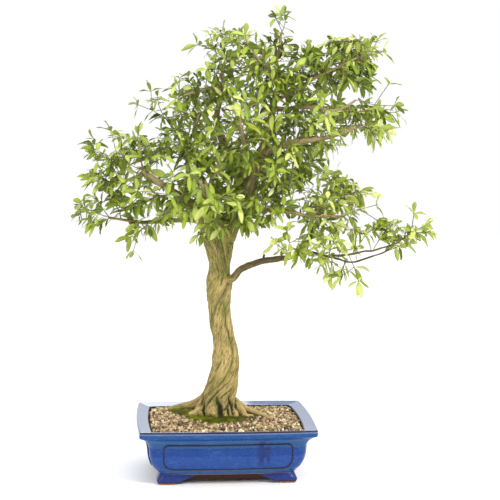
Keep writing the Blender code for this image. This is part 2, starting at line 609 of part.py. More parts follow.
def build_moss():
    """A low mound on the gravel, cut clear of the trunk and the roots that rise out of it."""
    walk = [(*point, 0, 0) for point in MOSS_OUTLINE + MOSS_OUTLINE[:1]]
    edge = smooth_route(walk, MOSS_EDGE_POINTS + 1)[:-1]
    centre = np.array([-20.0, -14.0])
    base = GRAVEL_TOP + SEAT_GAP
    rings = [[(point[0], point[1], base) for point in edge]]
    for step in range(MOSS_STEPS):
        share = (step / MOSS_STEPS) ** 1.5
        rise = base + MOSS_HEIGHT * (0.25 + 0.75 * math.sin((0.15 + share) * math.pi / 2.3))
        ring = []
        for number, point in enumerate(edge):
            x, y = point[:2] + (centre - point[:2]) * share
            ring.append((x, y, rise + 0.35 * math.sin(5.0 * number + 3.0 * step)))
        rings.append(ring)
    mound = loft(rings, "moss")
    spread = MOSS_CLEARANCE
    wood = combine("clearance", trunk_mesh(spread), root_meshes(spread), "UNION", "MANIFOLD")
    return largest_body(combine("moss", mound, [wood], "DIFFERENCE", "MANIFOLD"))


def extrude_to(bm, face, centre, side, up, half_side, half_up):
    """Extrude a four-sided face and set its corners in the plane of side and up round a centre."""
    old_centre = face.calc_center_median()
    face = bmesh.ops.extrude_discrete_faces(bm, faces=[face])["faces"][0]
    verts = [loop.vert for loop in face.loops]
    corners = [side * (sign_s * half_side) + up * (sign_u * half_up)
               for sign_s, sign_u in ((1, 1), (-1, 1), (-1, -1), (1, -1))]
    directions = [(vert.co - old_centre).normalized() for vert in verts]
    best = max(range(4), key=lambda turn: sum(directions[i].dot(corners[(i + turn) % 4].normalized())
                                              for i in range(4)))
    for index, vert in enumerate(verts):
        vert.co = centre + corners[(index + best) % 4]
    return face


def ring_axes(face, bearing):
    """The two edge directions of a four-sided face, turned the least so that they stand square to a bearing."""
    face.normal_update()
    corners = [loop.vert.co for loop in face.loops]
    edge = corners[1] - corners[0] + corners[2] - corners[3]
    side = face.normal.rotation_difference(bearing) @ edge
    side = (side - bearing * side.dot(bearing)).normalized()
    return side, bearing.cross(side)


def turn_towards(first, second, most):
    """The first direction, turned towards the second one by no more than an angle."""
    axis, angle = first.rotation_difference(second).to_axis_angle()
    return (Matrix.Rotation(min(angle, most), 3, axis) @ first).normalized()


def leaf_path(base, heading, length, share):
    """A point on the midrib: straight out, then sagging with the square of the distance."""
    return base + heading * (length * share) + Vector((0, 0, -LEAF_SAG * length * share * share))


def grow_leaf(bm, face, axis, room, rng):
    """One blade from a node's side: a wide section and a blunt point. It is bent clear or left out."""
    base = face.calc_center_median()
    face.normal_update()
    outward = face.normal.copy()
    for _ in range(LEAF_TRIES):
        length = rng.uniform(*LEAF_LENGTH)
        half_width = rng.uniform(*LEAF_HALF_WIDTH)
        wander = Vector(rng.uniform(-0.4, 0.4, 3).tolist())
        wanted = outward * rng.uniform(0.8, 1.3) + axis * rng.uniform(0.2, 1.0) + wander
        heading = turn_towards(outward, wanted, LEAF_BEND)
        side, up = ring_axes(face, heading)
        level = axis if abs(axis.dot(outward)) < 0.7 else Vector((0, 0, 1))
        if abs(side.dot(level)) > abs(up.dot(level)):
            side, up = up, -side
        roll = Matrix.Rotation(rng.uniform(-LEAF_ROLL, LEAF_ROLL), 3, heading)
        side, up = roll @ side, roll @ up
        samples = []
        for share, width in LEAF_SAMPLES:
            middle = leaf_path(base, heading, length, share)
            samples += [middle + side * (offset * width * half_width) for offset in (-1, -0.5, 0, 0.5, 1)]
        samples = np.array([tuple(sample) for sample in samples])
        if room.is_free(samples):
            break
    else:
        return False
    middle = leaf_path(base, heading, length, LEAF_WIDEST)
    face = extrude_to(bm, face, middle, side, up, half_width, LEAF_HALF_THICKNESS)
    tip = leaf_path(base, heading, length, 1.0)
    face = extrude_to(bm, face, tip, side, up, half_width * LEAF_TIP_WIDTH, LEAF_HALF_THICKNESS)
    pairs = [[vert for vert in face.verts if (vert.co - tip).dot(side) * sign > 0] for sign in (1, -1)]
    for pair in pairs:
        bmesh.ops.pointmerge(bm, verts=pair, merge_co=(pair[0].co + pair[1].co) / 2)
    room.take(np.vstack([samples, leaf_path(base, heading, length, 0.12)]))
    return True


def grow_shoot(bm, face, heading, length, joints, half_width, room, rng):
    """A twig of internodes and short nodes. Each node carries side shoots or leaves on its four sides."""
    path = [face.calc_center_median()]
    face.normal_update()
    bearing = face.normal.copy()
    bearings = []
    for _ in range(joints):
        wander = Vector(rng.uniform(-0.2, 0.2, 3).tolist())
        bearing = turn_towards(bearing, heading + wander, SHOOT_BEND)
        bearings.append(bearing)
        path.append(path[-1] + bearing * (length / joints))
    samples = [np.array([tuple(first.lerp(second, share)) for share in np.linspace(0.15, 1.0, 12)])
               for first, second in zip(path, path[1:])]
    if not room.is_free(np.vstack([joint[2:] for joint in samples])):
        return False
    room.take(np.vstack(samples))
    for joint, bearing in enumerate(bearings):
        side, up = ring_axes(face, bearing)
        width = half_width * (1 - 0.25 * (joint + 1) / joints)
        end = path[joint + 1]
        face = extrude_to(bm, face, end - bearing * NODE_LENGTH, side, up, width, width)
        face = extrude_to(bm, face, end, side, up, width, width)
        flanks = [other for edge in face.edges for other in edge.link_faces if other != face]
        last = joint == joints - 1
        shoot_flank = None if last else flanks[int(rng.integers(4))]
        for flank in flanks:
            flank.normal_update()
            if flank == shoot_flank:
                aim = (flank.normal * 0.9 + bearing * 0.6 + Vector((0, 0, 0.1))).normalized()
                if grow_shoot(bm, flank, aim, length * SIDE_SHOOT_SHARE, 1, width * 0.85, room, rng):
                    continue
            if last or rng.random() < SIDE_LEAF_CHANCE:
                grow_leaf(bm, flank, bearing, room, rng)
        if last and rng.random() < END_LEAF_CHANCE:
            grow_leaf(bm, face, bearing, room, rng)
    return True


def place_butt(limb, share, heading, room):
    """Where a spray stands on its limb: the middle of its foot, just off the bark, and the way it stands."""
    route = limb_route(limb)
    at = share * (len(route) - 1)
    before = min(int(at), len(route) - 2)
    point = route[before] + (route[before + 1] - route[before]) * (at - before)
    along = Vector((route[before + 1] - route[before])[:3]).normalized()
    aim = Vector(heading).normalized()
    radial = along if share == 1.0 else (aim - along * aim.dot(along)).normalized()
    centre = Vector(point[:3])
    hit, normal, _, _ = room.bark.ray_cast(centre + radial * (point[3] + 8), -radial)
    side = normal.orthogonal().normalized()
    rim = [Matrix.Rotation(turn * math.pi / 4, 3, normal) @ side * (SHOOT_HALF_WIDTH * 1.42) for turn in range(8)]
    foot = hit + normal * SEAT_GAP
    while min(room.bark.find_nearest(foot + offset)[3] for offset in rim) < SEAT_GAP - 0.02:
        foot += normal * 0.05
    room.take(np.array([tuple(foot + normal * rise) for rise in (0.0, 2.5, 5.0)]))
    return foot, normal


def build_spray(number, foot, normal, heading, length, room):
    """One leafy spray: its butt rests just off the limb's bark, then it grows out by itself."""
    rng = np.random.default_rng(SEED + 100 * (number + 1))
    aim = Vector(heading).normalized()
    stand = normal.to_track_quat("Z", "Y").to_matrix().to_4x4()
    size = Matrix.Diagonal((2 * SHOOT_HALF_WIDTH, 2 * SHOOT_HALF_WIDTH, BUTT_HEIGHT, 1.0))
    place = Matrix.Translation(foot + normal * (BUTT_HEIGHT / 2)) @ stand @ size
    for _ in range(SHOOT_TRIES):
        bm = bmesh.new()
        bmesh.ops.create_cube(bm, size=1.0, matrix=place)
        bm.normal_update()
        butt = max(bm.faces, key=lambda face: face.normal.dot(normal))
        if grow_shoot(bm, butt, aim, length, SHOOT_JOINTS, SHOOT_HALF_WIDTH, room, rng):
            return mesh_from(bm, "spray", turn_outwards=False)
        bm.free()
        aim = (aim + Vector(rng.uniform(-0.4, 0.4, 3).tolist())).normalized()
        length *= 0.96
    raise RuntimeError(f"no room for spray {number + 1}")


def main():
    """Build every piece and place it under one empty at the middle of the pot."""
    clear_scene()
    plant = bpy.data.collections.new("pomegranate_bonsai")
    bpy.context.scene.collection.children.link(plant)
    middle = bpy.data.objects.new("pot_middle", None)
    middle.location = (POT_X * MM, POT_Y * MM, 0.0)
    plant.objects.link(middle)
    glaze = make_material("blue_glaze", (0.03, 0.13, 0.48), 0.15)
    plastic = make_material("black_plastic", (0.02, 0.02, 0.02), 0.6)
    earth = make_material("dark_soil", (0.06, 0.04, 0.03), 0.95)
    stones = make_material("beige_gravel", (0.55, 0.45, 0.32), 0.85)
    green_moss = make_material("green_moss", (0.16, 0.25, 0.03), 0.95)
    bark = make_material("tan_bark", (0.42, 0.33, 0.19), 0.85)
    foliage = make_material("green_leaf", (0.16, 0.33, 0.04), 0.5)
    add_object("pot", build_pot(), glaze, plant, middle)
    for name, side in (("drain_screen_left", -1), ("drain_screen_right", 1)):
        add_object(name, build_screen(side), plastic, plant, middle)
    add_object("soil", build_soil(), earth, plant, middle)
    add_object("gravel", build_gravel(), stones, plant, middle)
    add_object("moss", build_moss(), green_moss, plant, middle)
    tree = build_tree()
    room = GrowingRoom(tree)
    butts = [place_butt(limb, share, heading, room) for limb, share, heading, _ in SPRAYS]
    for number, (_, _, heading, length) in enumerate(SPRAYS):
        spray = build_spray(number, *butts[number], heading, length, room)
        add_object(f"spray_{number + 1:02d}", spray, foliage, plant, middle)
    add_object("tree", tree, bark, plant, middle)


main()
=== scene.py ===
"""Pomegranate bonsai in a blue glazed pot: the visible model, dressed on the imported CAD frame.

Routes, outlines and heights are in millimetres in the pot's own frame: its middle on the ground is the
origin, X runs to the right, Y away from the viewer and Z up. A Skin is turned into metres in the CAD's
frame when it becomes a piece. The CAD's pot, gravel, moss, tree and sprays are replaced by finer pieces of
the same form. The soil and the two drain screens stay and get better materials.
"""
import itertools
import logging
import math
from dataclasses import dataclass, field
from enum import Enum
from typing import Any, Optional, Sequence

import bmesh
import bpy
import numpy as np
from mathutils import Matrix, Vector


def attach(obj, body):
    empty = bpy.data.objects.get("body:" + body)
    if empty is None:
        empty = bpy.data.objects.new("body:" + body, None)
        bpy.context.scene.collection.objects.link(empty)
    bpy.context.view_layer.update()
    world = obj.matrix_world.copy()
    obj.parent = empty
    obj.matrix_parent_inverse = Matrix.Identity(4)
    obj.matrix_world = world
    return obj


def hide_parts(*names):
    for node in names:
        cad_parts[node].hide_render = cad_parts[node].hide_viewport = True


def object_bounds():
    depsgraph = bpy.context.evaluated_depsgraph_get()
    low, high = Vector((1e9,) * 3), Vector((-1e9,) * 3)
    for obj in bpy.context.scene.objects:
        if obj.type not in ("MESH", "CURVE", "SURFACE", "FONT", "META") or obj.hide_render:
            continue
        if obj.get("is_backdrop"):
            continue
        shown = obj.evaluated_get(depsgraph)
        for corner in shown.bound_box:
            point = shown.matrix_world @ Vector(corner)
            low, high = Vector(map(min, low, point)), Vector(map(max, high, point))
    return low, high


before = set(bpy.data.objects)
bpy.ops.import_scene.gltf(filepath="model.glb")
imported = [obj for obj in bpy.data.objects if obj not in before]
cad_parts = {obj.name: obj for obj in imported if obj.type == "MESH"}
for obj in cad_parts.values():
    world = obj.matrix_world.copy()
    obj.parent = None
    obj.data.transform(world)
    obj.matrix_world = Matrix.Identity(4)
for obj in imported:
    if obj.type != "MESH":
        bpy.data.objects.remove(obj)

log = logging.getLogger("bonsai")

MM = 0.001
POT_MIDDLE = np.array([-41.0, -18.7, 0.0])
UP = np.array([0.0, 0.0, 1.0])

# A colour as linear red, green and blue, or a place or factors in X, Y and Z
Triple = tuple[float, float, float]


class Slot(Enum):
    """Names of the material slots glaze, gravel, moss, bark and leaf; no piece here takes its finish from
    them.
    """

    GLAZE = "glaze"
    GRAVEL = "gravel"
    MOSS = "moss"
    BARK = "bark"
    LEAF = "leaf"


# Shader expressions


class Value:
    """One output of a material's nodes. Python's operators on it add Math nodes."""

    def __init__(self, graph: "Graph", socket: bpy.types.NodeSocket) -> None:
        """Wrap an output socket of a graph."""
        self.graph = graph
        self.socket = socket

    def _math(self, operation: str, first: Any, second: Any) -> "Value":
        """A Math node on two values, each a Value or a number."""
        return self.graph.node("ShaderNodeMath", {"operation": operation}, {0: first, 1: second})

    def __add__(self, other: Any) -> "Value":
        """The sum."""
        return self._math("ADD", self, other)

    def __radd__(self, other: Any) -> "Value":
        """The sum, with a number first."""
        return self._math("ADD", other, self)

    def __sub__(self, other: Any) -> "Value":
        """The difference."""
        return self._math("SUBTRACT", self, other)

    def __rsub__(self, other: Any) -> "Value":
        """The difference from a number."""
        return self._math("SUBTRACT", other, self)

    def __mul__(self, other: Any) -> "Value":
        """The product."""
        return self._math("MULTIPLY", self, other)

    def magnitude(self) -> "Value":
        """The value without its sign."""
        return self._math("ABSOLUTE", self, 0.0)

    def between(self, low: float, high: float) -> "Value":
        """A smooth step: 0 at or below low, 1 at or above high. Low may be the larger one."""
        return self.graph.node("ShaderNodeMapRange", {"interpolation_type": "SMOOTHSTEP"},
                               {0: self, 1: low, 2: high, 3: 0.0, 4: 1.0})


class Graph:
    """The nodes of one Principled material."""

    def __init__(self, name: str) -> None:
        """Start a material.

        Args:
            name: The material's name.
        """
        self.material = bpy.data.materials.new(name)
        self.material.use_nodes = True
        self.tree = self.material.node_tree
        self.shader = self.tree.nodes["Principled BSDF"]

    def node(self, kind: str, settings: Optional[dict[str, Any]] = None,
             inputs: Optional[dict[Any, Any]] = None, output: Any = 0) -> Value:
        """Add any node.

        Args:
            kind: The node's type.
            settings: Its own settings, set first. The key "stops" gives a ramp's places and colours.
            inputs: The values or links of its sockets, by name or number.
            output: The output that is wanted, by name or number.

        Returns:
            That output.
        """
        made = self.tree.nodes.new(kind)
        for key, value in (settings or {}).items():
            if key == "stops":
                elements = made.color_ramp.elements
                while len(elements) < len(value):
                    elements.new(0.5)
                for element, (place, colour) in zip(elements, value):
                    element.position = place
                    element.color = (*colour, 1.0)
            else:
                setattr(made, key, value)
        for key, value in (inputs or {}).items():
            self.feed(made.inputs[key], value)
        return Value(self, made.outputs[output])

    def feed(self, socket: bpy.types.NodeSocket, value: Any) -> None:
        """Link a Value to an input socket, or set a number, colour or vector on it.

        Args:
            socket: The input socket.
            value: What it gets.
        """
        if isinstance(value, Value):
            self.tree.links.new(value.socket, socket)
        elif isinstance(value, tuple) and len(value) == 3 and socket.type == "RGBA":
            socket.default_value = (*value, 1.0)
        else:
            socket.default_value = value

    def place(self) -> Value:
        """Object coordinates, in metres."""
        return self.node("ShaderNodeTexCoord", output="Object")

    def part(self, vector: Value, axis: str) -> Value:
        """The X, Y or Z part of a vector."""
        return self.node("ShaderNodeSeparateXYZ", inputs={0: vector}, output=axis)

    def height(self) -> Value:
        """The Z part of the object coordinates, in metres."""
        return self.part(self.place(), "Z")

    def mark(self, name: str, output: str = "Fac") -> Value:
        """A number, or with output "Vector" a vector, that rides on the piece's points."""
        return self.node("ShaderNodeAttribute", {"attribute_name": name}, output=output)

    def scaled(self, vector: Value, by: Triple) -> Value:
        """A vector times a fixed vector, part by part."""
        return self.node("ShaderNodeVectorMath", {"operation": "MULTIPLY"}, {0: vector, 1: by})

    def noise(self, vector: Value, scale: float, detail: float = 3.0, roughness: float = 0.55,
              distortion: float = 0.0) -> Value:
        """Noise from 0 to 1."""
        return self.node("ShaderNodeTexNoise", {"noise_dimensions": "3D"},
                         {"Vector": vector, "Scale": scale, "Detail": detail, "Roughness": roughness,
                          "Distortion": distortion})

    def cells(self, vector: Value, scale: float) -> Value:
        """Distances from the middles of a cell pattern."""
        return self.node("ShaderNodeTexVoronoi", {"feature": "F1"},
                         {"Vector": vector, "Scale": scale}, "Distance")

    def ramp(self, value: Value, stops: Sequence[tuple[float, Triple]]) -> Value:
        """A colour read from stops."""
        return self.node("ShaderNodeValToRGB", {"stops": stops}, {0: value})

    def mix(self, share: Any, first: Any, second: Any, way: str = "MIX") -> Value:
        """The first colour, turned into the second by a share."""
        return self.node("ShaderNodeMix", {"data_type": "RGBA", "blend_type": way},
                         {0: share, 6: first, 7: second}, 2)

    def tinted(self, colour: Value, tint: Triple) -> Value:
        """A colour times a fixed one."""
        return self.mix(1.0, colour, tint, "MULTIPLY")

    def bump(self, height: Value, reach: float, strength: float,
             onto: Optional[Value] = None) -> Value:
        """Tilt the normal by a height.

        Args:
            height: From 0 to 1.
            reach: What 1 stands for, in metres.
            strength: How much of the tilt shows.
            onto: The normal that is tilted, if not the surface's.

        Returns:
            The new normal.
        """
        inputs = {"Height": height, "Distance": reach, "Strength": strength}
        if onto is not None:
            inputs["Normal"] = onto
        return self.node("ShaderNodeBump", inputs=inputs, output="Normal")

    def finish(self, **sockets: Any) -> bpy.types.Material:
        """Feed the Principled shader.

        Args:
            **sockets: Values by socket name, with _ for a space.

        Returns:
            The finished material.
        """
        for name, value in sockets.items():
            self.feed(self.shader.inputs[name.replace("_", " ")], value)
        return self.material


def shaded(colour: Triple, by: float) -> Triple:
    """A colour made darker or lighter by a factor, no part of it above 1."""
    return tuple(min(1.0, by * part) for part in colour)


# Shapes


@dataclass
class Skin:
    """Points in millimetres, groups of faces with equally many corners, and marks on the points."""

    points: np.ndarray
    faces: list[np.ndarray]
    marks: dict[str, np.ndarray] = field(default_factory=dict)

    @staticmethod
    def joined(skins: Sequence["Skin"]) -> "Skin":
        """Several skins as one. A mark that a skin lacks is 0 there.

        Args:
            skins: The skins, in order.

        Returns:
            One skin with all their points and faces.
        """
        starts = np.cumsum([0] + [len(skin.points) for skin in skins])
        faces = [group + start for skin, start in zip(skins, starts) for group in skin.faces]
        widths = {name: mark.shape[1:] for skin in skins for name, mark in skin.marks.items()}
        marks = {name: np.concatenate([skin.marks.get(name, np.zeros((len(skin.points), *width)))
                                       for skin in skins]) for name, width in widths.items()}
        return Skin(np.concatenate([skin.points for skin in skins]), faces, marks)

    def mesh(self, name: str, smooth: bool = True) -> bpy.types.Mesh:
        """The skin as a Blender mesh in metres, in the CAD's frame.

        Args:
            name: The mesh's name.
            smooth: Whether faces are shaded smooth, apart from edges between two points marked as rim.

        Returns:
            The mesh, with a UV map for a mark named uv and an attribute for each other mark.
        """
        made = bpy.data.meshes.new(name)
        made.vertices.add(len(self.points))
        made.vertices.foreach_set("co", ((self.points + POT_MIDDLE) * MM).astype(np.float32).ravel())
        corners = np.concatenate([group.ravel() for group in self.faces]).astype(np.int32)
        sizes = np.concatenate([np.full(len(group), group.shape[1]) for group in self.faces])
        made.loops.add(len(corners))
        made.loops.foreach_set("vertex_index", corners)
        made.polygons.add(len(sizes))
        starts = np.concatenate([[0], np.cumsum(sizes)[:-1]])
        made.polygons.foreach_set("loop_start", starts.astype(np.int32))
        made.update(calc_edges=True)
        made.polygons.foreach_set("use_smooth", np.full(len(sizes), smooth))
        for key, mark in self.marks.items():
            if key == "uv":
                layer = made.uv_layers.new(name="blade")
                layer.data.foreach_set("uv", mark[corners].astype(np.float32).ravel())
            elif key == "rim":
                pairs = read_rows(made.edges, "vertices", 2, np.int32)
                sharp = made.attributes.new("sharp_edge", "BOOLEAN", "EDGE")
                sharp.data.foreach_set("value", (mark[pairs] > 0.5).all(axis=1))
            elif mark.ndim == 2:
                layer = made.attributes.new(key, "FLOAT_VECTOR", "POINT")
                layer.data.foreach_set("vector", mark.astype(np.float32).ravel())
            else:
                layer = made.attributes.new(key, "FLOAT", "POINT")
                layer.data.foreach_set("value", mark.astype(np.float32))
        return made


def read_rows(items: Any, key: str, width: int, kind: type = np.float32) -> np.ndarray:
    """One property of all of a mesh's items, a row for each.

    Args:
        items: The mesh's points, edges, loops or normals.
        key: The property.
        width: How many numbers it has.
        kind: Their type.

    Returns:
        An array with that many columns.
    """
    flat = np.zeros(width * len(items), dtype=kind)
    items.foreach_get(key, flat)
    return flat.reshape(-1, width)


def add_object(name: str, data: Any) -> bpy.types.Object:
    """A new object at the origin, in the scene."""
    made = bpy.data.objects.new(name, data)
    bpy.context.scene.collection.objects.link(made)
    return made


def baked_mesh(shape: bpy.types.Object, *helpers: bpy.types.Object) -> bpy.types.Mesh:
    """Take an object's mesh with its modifiers applied.

    Args:
        shape: The object. It is removed afterwards.
        *helpers: Other objects to remove.

    Returns:
        The mesh.
    """
    made = bpy.data.meshes.new_from_object(shape.evaluated_get(bpy.context.evaluated_depsgraph_get()))
    for used in (shape, *helpers):
        bpy.data.objects.remove(used, do_unlink=True)
    return made


def add_piece(name: str, mesh: bpy.types.Mesh, material: bpy.types.Material,
              stands_for: Sequence[str] = ()) -> bpy.types.Object:
    """Put a mesh into the scene as a piece that rides on the one body.

    Args:
        name: The piece's name.
        mesh: Its mesh, in metres.
        material: Its finish.
        stands_for: The CAD nodes that it replaces.

    Returns:
        The piece.
    """
    mesh.materials.clear()
    mesh.materials.append(material)
    piece = add_object(name, mesh)
    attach(piece, "root")
    if stands_for:
        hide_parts(*stands_for)
    log.info("%s: %d faces", name, len(mesh.polygons))
    return piece


def unit(vectors: np.ndarray) -> np.ndarray:
    """Vectors scaled to length 1."""
    return vectors / np.maximum(np.linalg.norm(vectors, axis=-1, keepdims=True), 1e-9)


def angles(count: int) -> np.ndarray:
    """Angles at even steps round a full turn."""
    return np.linspace(0, 2 * math.pi, count, endpoint=False)


def strip_faces(rings: int, sides: int, wrapped: bool = False) -> np.ndarray:
    """Quads between rings of points: corner k of ring r is point r * sides + k.

    Args:
        rings: How many rings.
        sides: How many points each has.
        wrapped: Whether the last ring joins the first.

    Returns:
        The quads, facing out where a ring runs counter-clockwise seen from the next one.
    """
    lower = np.arange(rings if wrapped else rings - 1)[:, None] * sides
    upper = (lower + sides) % (rings * sides)
    side = np.arange(sides)[None, :]
    after = (side + 1) % sides
    return np.stack([lower + side, lower + after, upper + after, upper + side], axis=-1).reshape(-1, 4)


def grid_faces(rows: int, columns: int) -> np.ndarray:
    """Quads of a grid of points: corner k of row r is point r * columns + k."""
    index = np.arange(rows * columns).reshape(rows, columns)
    corners = [index[:-1, :-1], index[:-1, 1:], index[1:, 1:], index[1:, :-1]]
    return np.stack(corners, axis=-1).reshape(-1, 4)


def repeated(faces: np.ndarray, count: int, points: int) -> np.ndarray:
    """The faces of many equal items, each with that many points, one item after the other."""
    return (faces[None] + (np.arange(count) * points)[:, None, None]).reshape(-1, faces.shape[1])


def loft(rings: np.ndarray, marks: Optional[dict[str, np.ndarray]] = None) -> Skin:
    """Join rings of points and cap them at both ends.

    Args:
        rings: The points, of shape (rings, sides, 3).
        marks: Marks of shape (rings, sides) or more.

    Returns:
        A closed skin.
    """
    count, sides = rings.shape[:2]
    caps = np.stack([np.arange(sides)[::-1], np.arange(sides) + (count - 1) * sides])
    flat = {key: mark.reshape(count * sides, *mark.shape[2:]) for key, mark in (marks or {}).items()}
    return Skin(rings.reshape(-1, 3), [strip_faces(count, sides), caps], flat)


def smooth_route(points: Sequence[Sequence[float]], count: int) -> np.ndarray:
    """Points at even steps on the smooth curve through a route: on each span a cubic whose slope at a point
    is half the way from the point before to the point after.

    Args:
        points: The route's own points, with any numbers after the place, such as a radius.
        count: How many points are wanted.

    Returns:
        An array of count rows.
    """
    knots = np.array(points, dtype=float)
    padded = np.vstack([2 * knots[0] - knots[1], knots, 2 * knots[-1] - knots[-2]])
    along = np.linspace(0, len(knots) - 1, count)
    span = np.minimum(along.astype(int), len(knots) - 2)
    share = (along - span)[:, None]
    before, start, end, after = (padded[span + step] for step in range(4))
    slope = end - before
    curve = 2 * before - 5 * start + 4 * end - after
    rest = 3 * start - before - 3 * end + after
    return 0.5 * (2 * start + slope * share + curve * share ** 2 + rest * share ** 3)


def walked(path: np.ndarray) -> np.ndarray:
    """The length walked along a path to each of its points."""
    return np.concatenate([[0.0], np.cumsum(np.linalg.norm(np.diff(path[:, :3], axis=0), axis=1))])


def tube(route: np.ndarray, sides: int, relief: float = 0.0, seed: int = 0) -> Skin:
    """A tube along x, y, z, radius rows: centre + radius * (cos a * side + sin a * up), with the radius
    changed by up to the relief through noise that is stretched along the tube.

    Args:
        route: The rows.
        sides: Points round each ring.
        relief: Height of the bark's ridges, as a share of the radius.
        seed: Which noise.

    Returns:
        A closed skin with the mark "grain": the offset from the centre plus a fifth of the length walked.
    """
    centre, radius = route[:, :3], route[:, 3]
    tangent = unit(np.gradient(centre, axis=0))
    reference = np.linalg.svd(tangent, full_matrices=True)[2][-1]
    side = unit(np.cross(tangent, reference))
    up = np.cross(tangent, side)
    angle = angles(sides)[None, :, None]
    spoke = np.cos(angle) * side[:, None, :] + np.sin(angle) * up[:, None, :]
    offset = spoke * radius[:, None, None]
    grain = offset + tangent[:, None, :] * (0.2 * walked(route))[:, None, None]
    if relief:
        ridges = 1 + relief * value_noise(grain / 1.7, seed) + relief * value_noise(grain / 4.0, seed + 1)
        offset = offset * ridges[..., None]
    return loft(centre[:, None, :] + offset, {"grain": grain})


# Large primes that spread whole-number places over the random numbers
PRIMES = (374761393, 668265263, 2147483647)


def value_noise(points: np.ndarray, seed: int) -> np.ndarray:
    """Smooth noise from -1 to 1: each whole-number place has a random number, and between them the eight
    round a point are blended by the smooth step 3s^2 - 2s^3 in X, Y and Z.

    Args:
        points: Places, the last axis being X, Y and Z.
        seed: Which noise.

    Returns:
        One number for each place.
    """
    low = np.floor(points).astype(np.int64)
    share = points - low
    share = share * share * (3 - 2 * share)
    total = np.zeros(points.shape[:-1])
    for corner in itertools.product((0, 1), repeat=3):
        place = low + np.array(corner)
        mixed = sum(place[..., axis] * prime for axis, prime in enumerate(PRIMES)) + seed * 974711
        mixed = (mixed ^ (mixed >> 13)) * 1274126177
        random = ((mixed ^ (mixed >> 16)) & 0xFFFF) / 32767.5 - 1
        weight = np.prod(np.where(corner, share, 1 - share), axis=-1)
        total += random * weight
    return total


def fractal_noise(points: np.ndarray, seed: int, octaves: int = 3) -> np.ndarray:
    """Noise from about -1 to 1: each further octave is twice as fine and half as high."""
    layers = (value_noise(points * 2 ** octave, seed + octave) / 2 ** (octave + 1)
              for octave in range(octaves))
    return sum(layers) * 1.2


# Finishes


@dataclass(frozen=True)
class BlueGlaze:
    """Glossy cobalt glaze in level bands, brown where it runs thin over an edge, and bare clay that turns
    to painted shade under the base.
    """

    deep: Triple = (0.002, 0.010, 0.11)
    cobalt: Triple = (0.0, 0.036, 0.205)
    violet: Triple = (0.012, 0.056, 0.25)
    slate: Triple = (0.014, 0.078, 0.215)
    rim_blue: Triple = (0.0, 0.050, 0.19)
    foot_blue: Triple = (0.012, 0.024, 0.155)
    streak: Triple = (0.002, 0.007, 0.07)
    cloud: Triple = (0.05, 0.125, 0.34)
    fleck: Triple = (0.04, 0.14, 0.36)
    brown: Triple = (0.02, 0.010, 0.012)
    clay: Triple = (0.36, 0.16, 0.085)
    # Painted shade: a dark clay brown for the strip under the base that stands for the shadow there, and
    # near the feet's bare bottoms.
    shade: Triple = (0.045, 0.02, 0.012)

    def material(self) -> bpy.types.Material:
        """The finish: bands by height, clouds, vertical runs, brown by the mark "thin", clay by "bare", and
        painted shade on the clay where both are high.

        Returns:
            The material. The stops of its bands are heights in decimetres.
        """
        graph = Graph("blue_glaze")
        place = graph.place()
        height = graph.height()
        clouds = graph.noise(graph.scaled(place, (1.0, 1.0, 2.0)), 46.0, 5.0, 0.66, 0.3)
        fine = graph.noise(place, 620.0, 3.0, 0.7)
        level = (height + (clouds - 0.5) * 0.005) * 10.0
        colour = graph.ramp(level, [(0.0, self.foot_blue), (0.17, self.foot_blue), (0.195, self.slate),
                                    (0.275, self.slate), (0.30, self.violet), (0.505, self.violet),
                                    (0.525, self.cobalt), (0.655, self.cobalt), (0.675, self.slate),
                                    (0.80, self.slate), (0.87, self.rim_blue), (0.93, self.rim_blue)])
        across = graph.part(place, "X")
        streak = (across + (clouds - 0.5) * 0.016 - 0.019).magnitude().between(0.015, 0.004)
        runs = graph.noise(graph.scaled(place, (1.0, 1.0, 0.07)), 120.0, 4.0, 0.6)
        upright = height.between(0.026, 0.05) * height.between(0.088, 0.074)
        colour = graph.mix(streak * upright * runs.between(0.42, 0.5) * 0.85, colour, self.streak)
        colour = graph.mix(runs.between(0.56, 0.75) * 0.4, colour, self.deep)
        colour = graph.mix(clouds.between(0.5, 0.75) * 0.5, colour, self.cloud)
        specks = graph.cells(place, 700.0).between(0.22, 0.08)
        colour = graph.mix(fine.between(0.5, 0.3) * 0.4, colour, self.fleck)
        colour = graph.mix(specks * 0.55 + fine.between(0.45, 0.75) * 0.6, colour, self.deep)
        worn = graph.mark("thin") + (graph.noise(place, 260.0, 3.0) - 0.5) * 0.45
        colour = graph.mix(worn.between(0.35, 0.7), colour, self.brown)
        bare = (graph.mark("bare") + (graph.noise(place, 110.0, 3.0) - 0.5) * 0.8).between(0.45, 0.6)
        grit = graph.noise(place, 1400.0, 2.0)
        clay = graph.mix(grit.between(0.35, 0.7), self.clay, shaded(self.clay, 0.62))
        # Painted shade: where marked thin, the bare clay turns dark as in shadow.
        clay = graph.mix(graph.mark("thin"), clay, self.shade)
        colour = graph.mix(bare, colour, clay)
        rough = 0.10 + clouds.between(0.4, 0.7) * 0.08 + bare * 0.6
        ripple = graph.bump(graph.noise(place, 55.0, 2.0), 0.0010, 0.3)
        normal = graph.bump(grit * bare, 0.0004, 0.5, ripple)
        glassy = height.between(0.0925, 0.0945) * (1.0 - worn.between(0.3, 0.6))
        return graph.finish(Base_Color=colour, Roughness=rough, IOR=1.5, Specular_IOR_Level=0.27,
                            Coat_Weight=glassy, Coat_Roughness=0.06, Coat_IOR=1.9, Normal=normal)


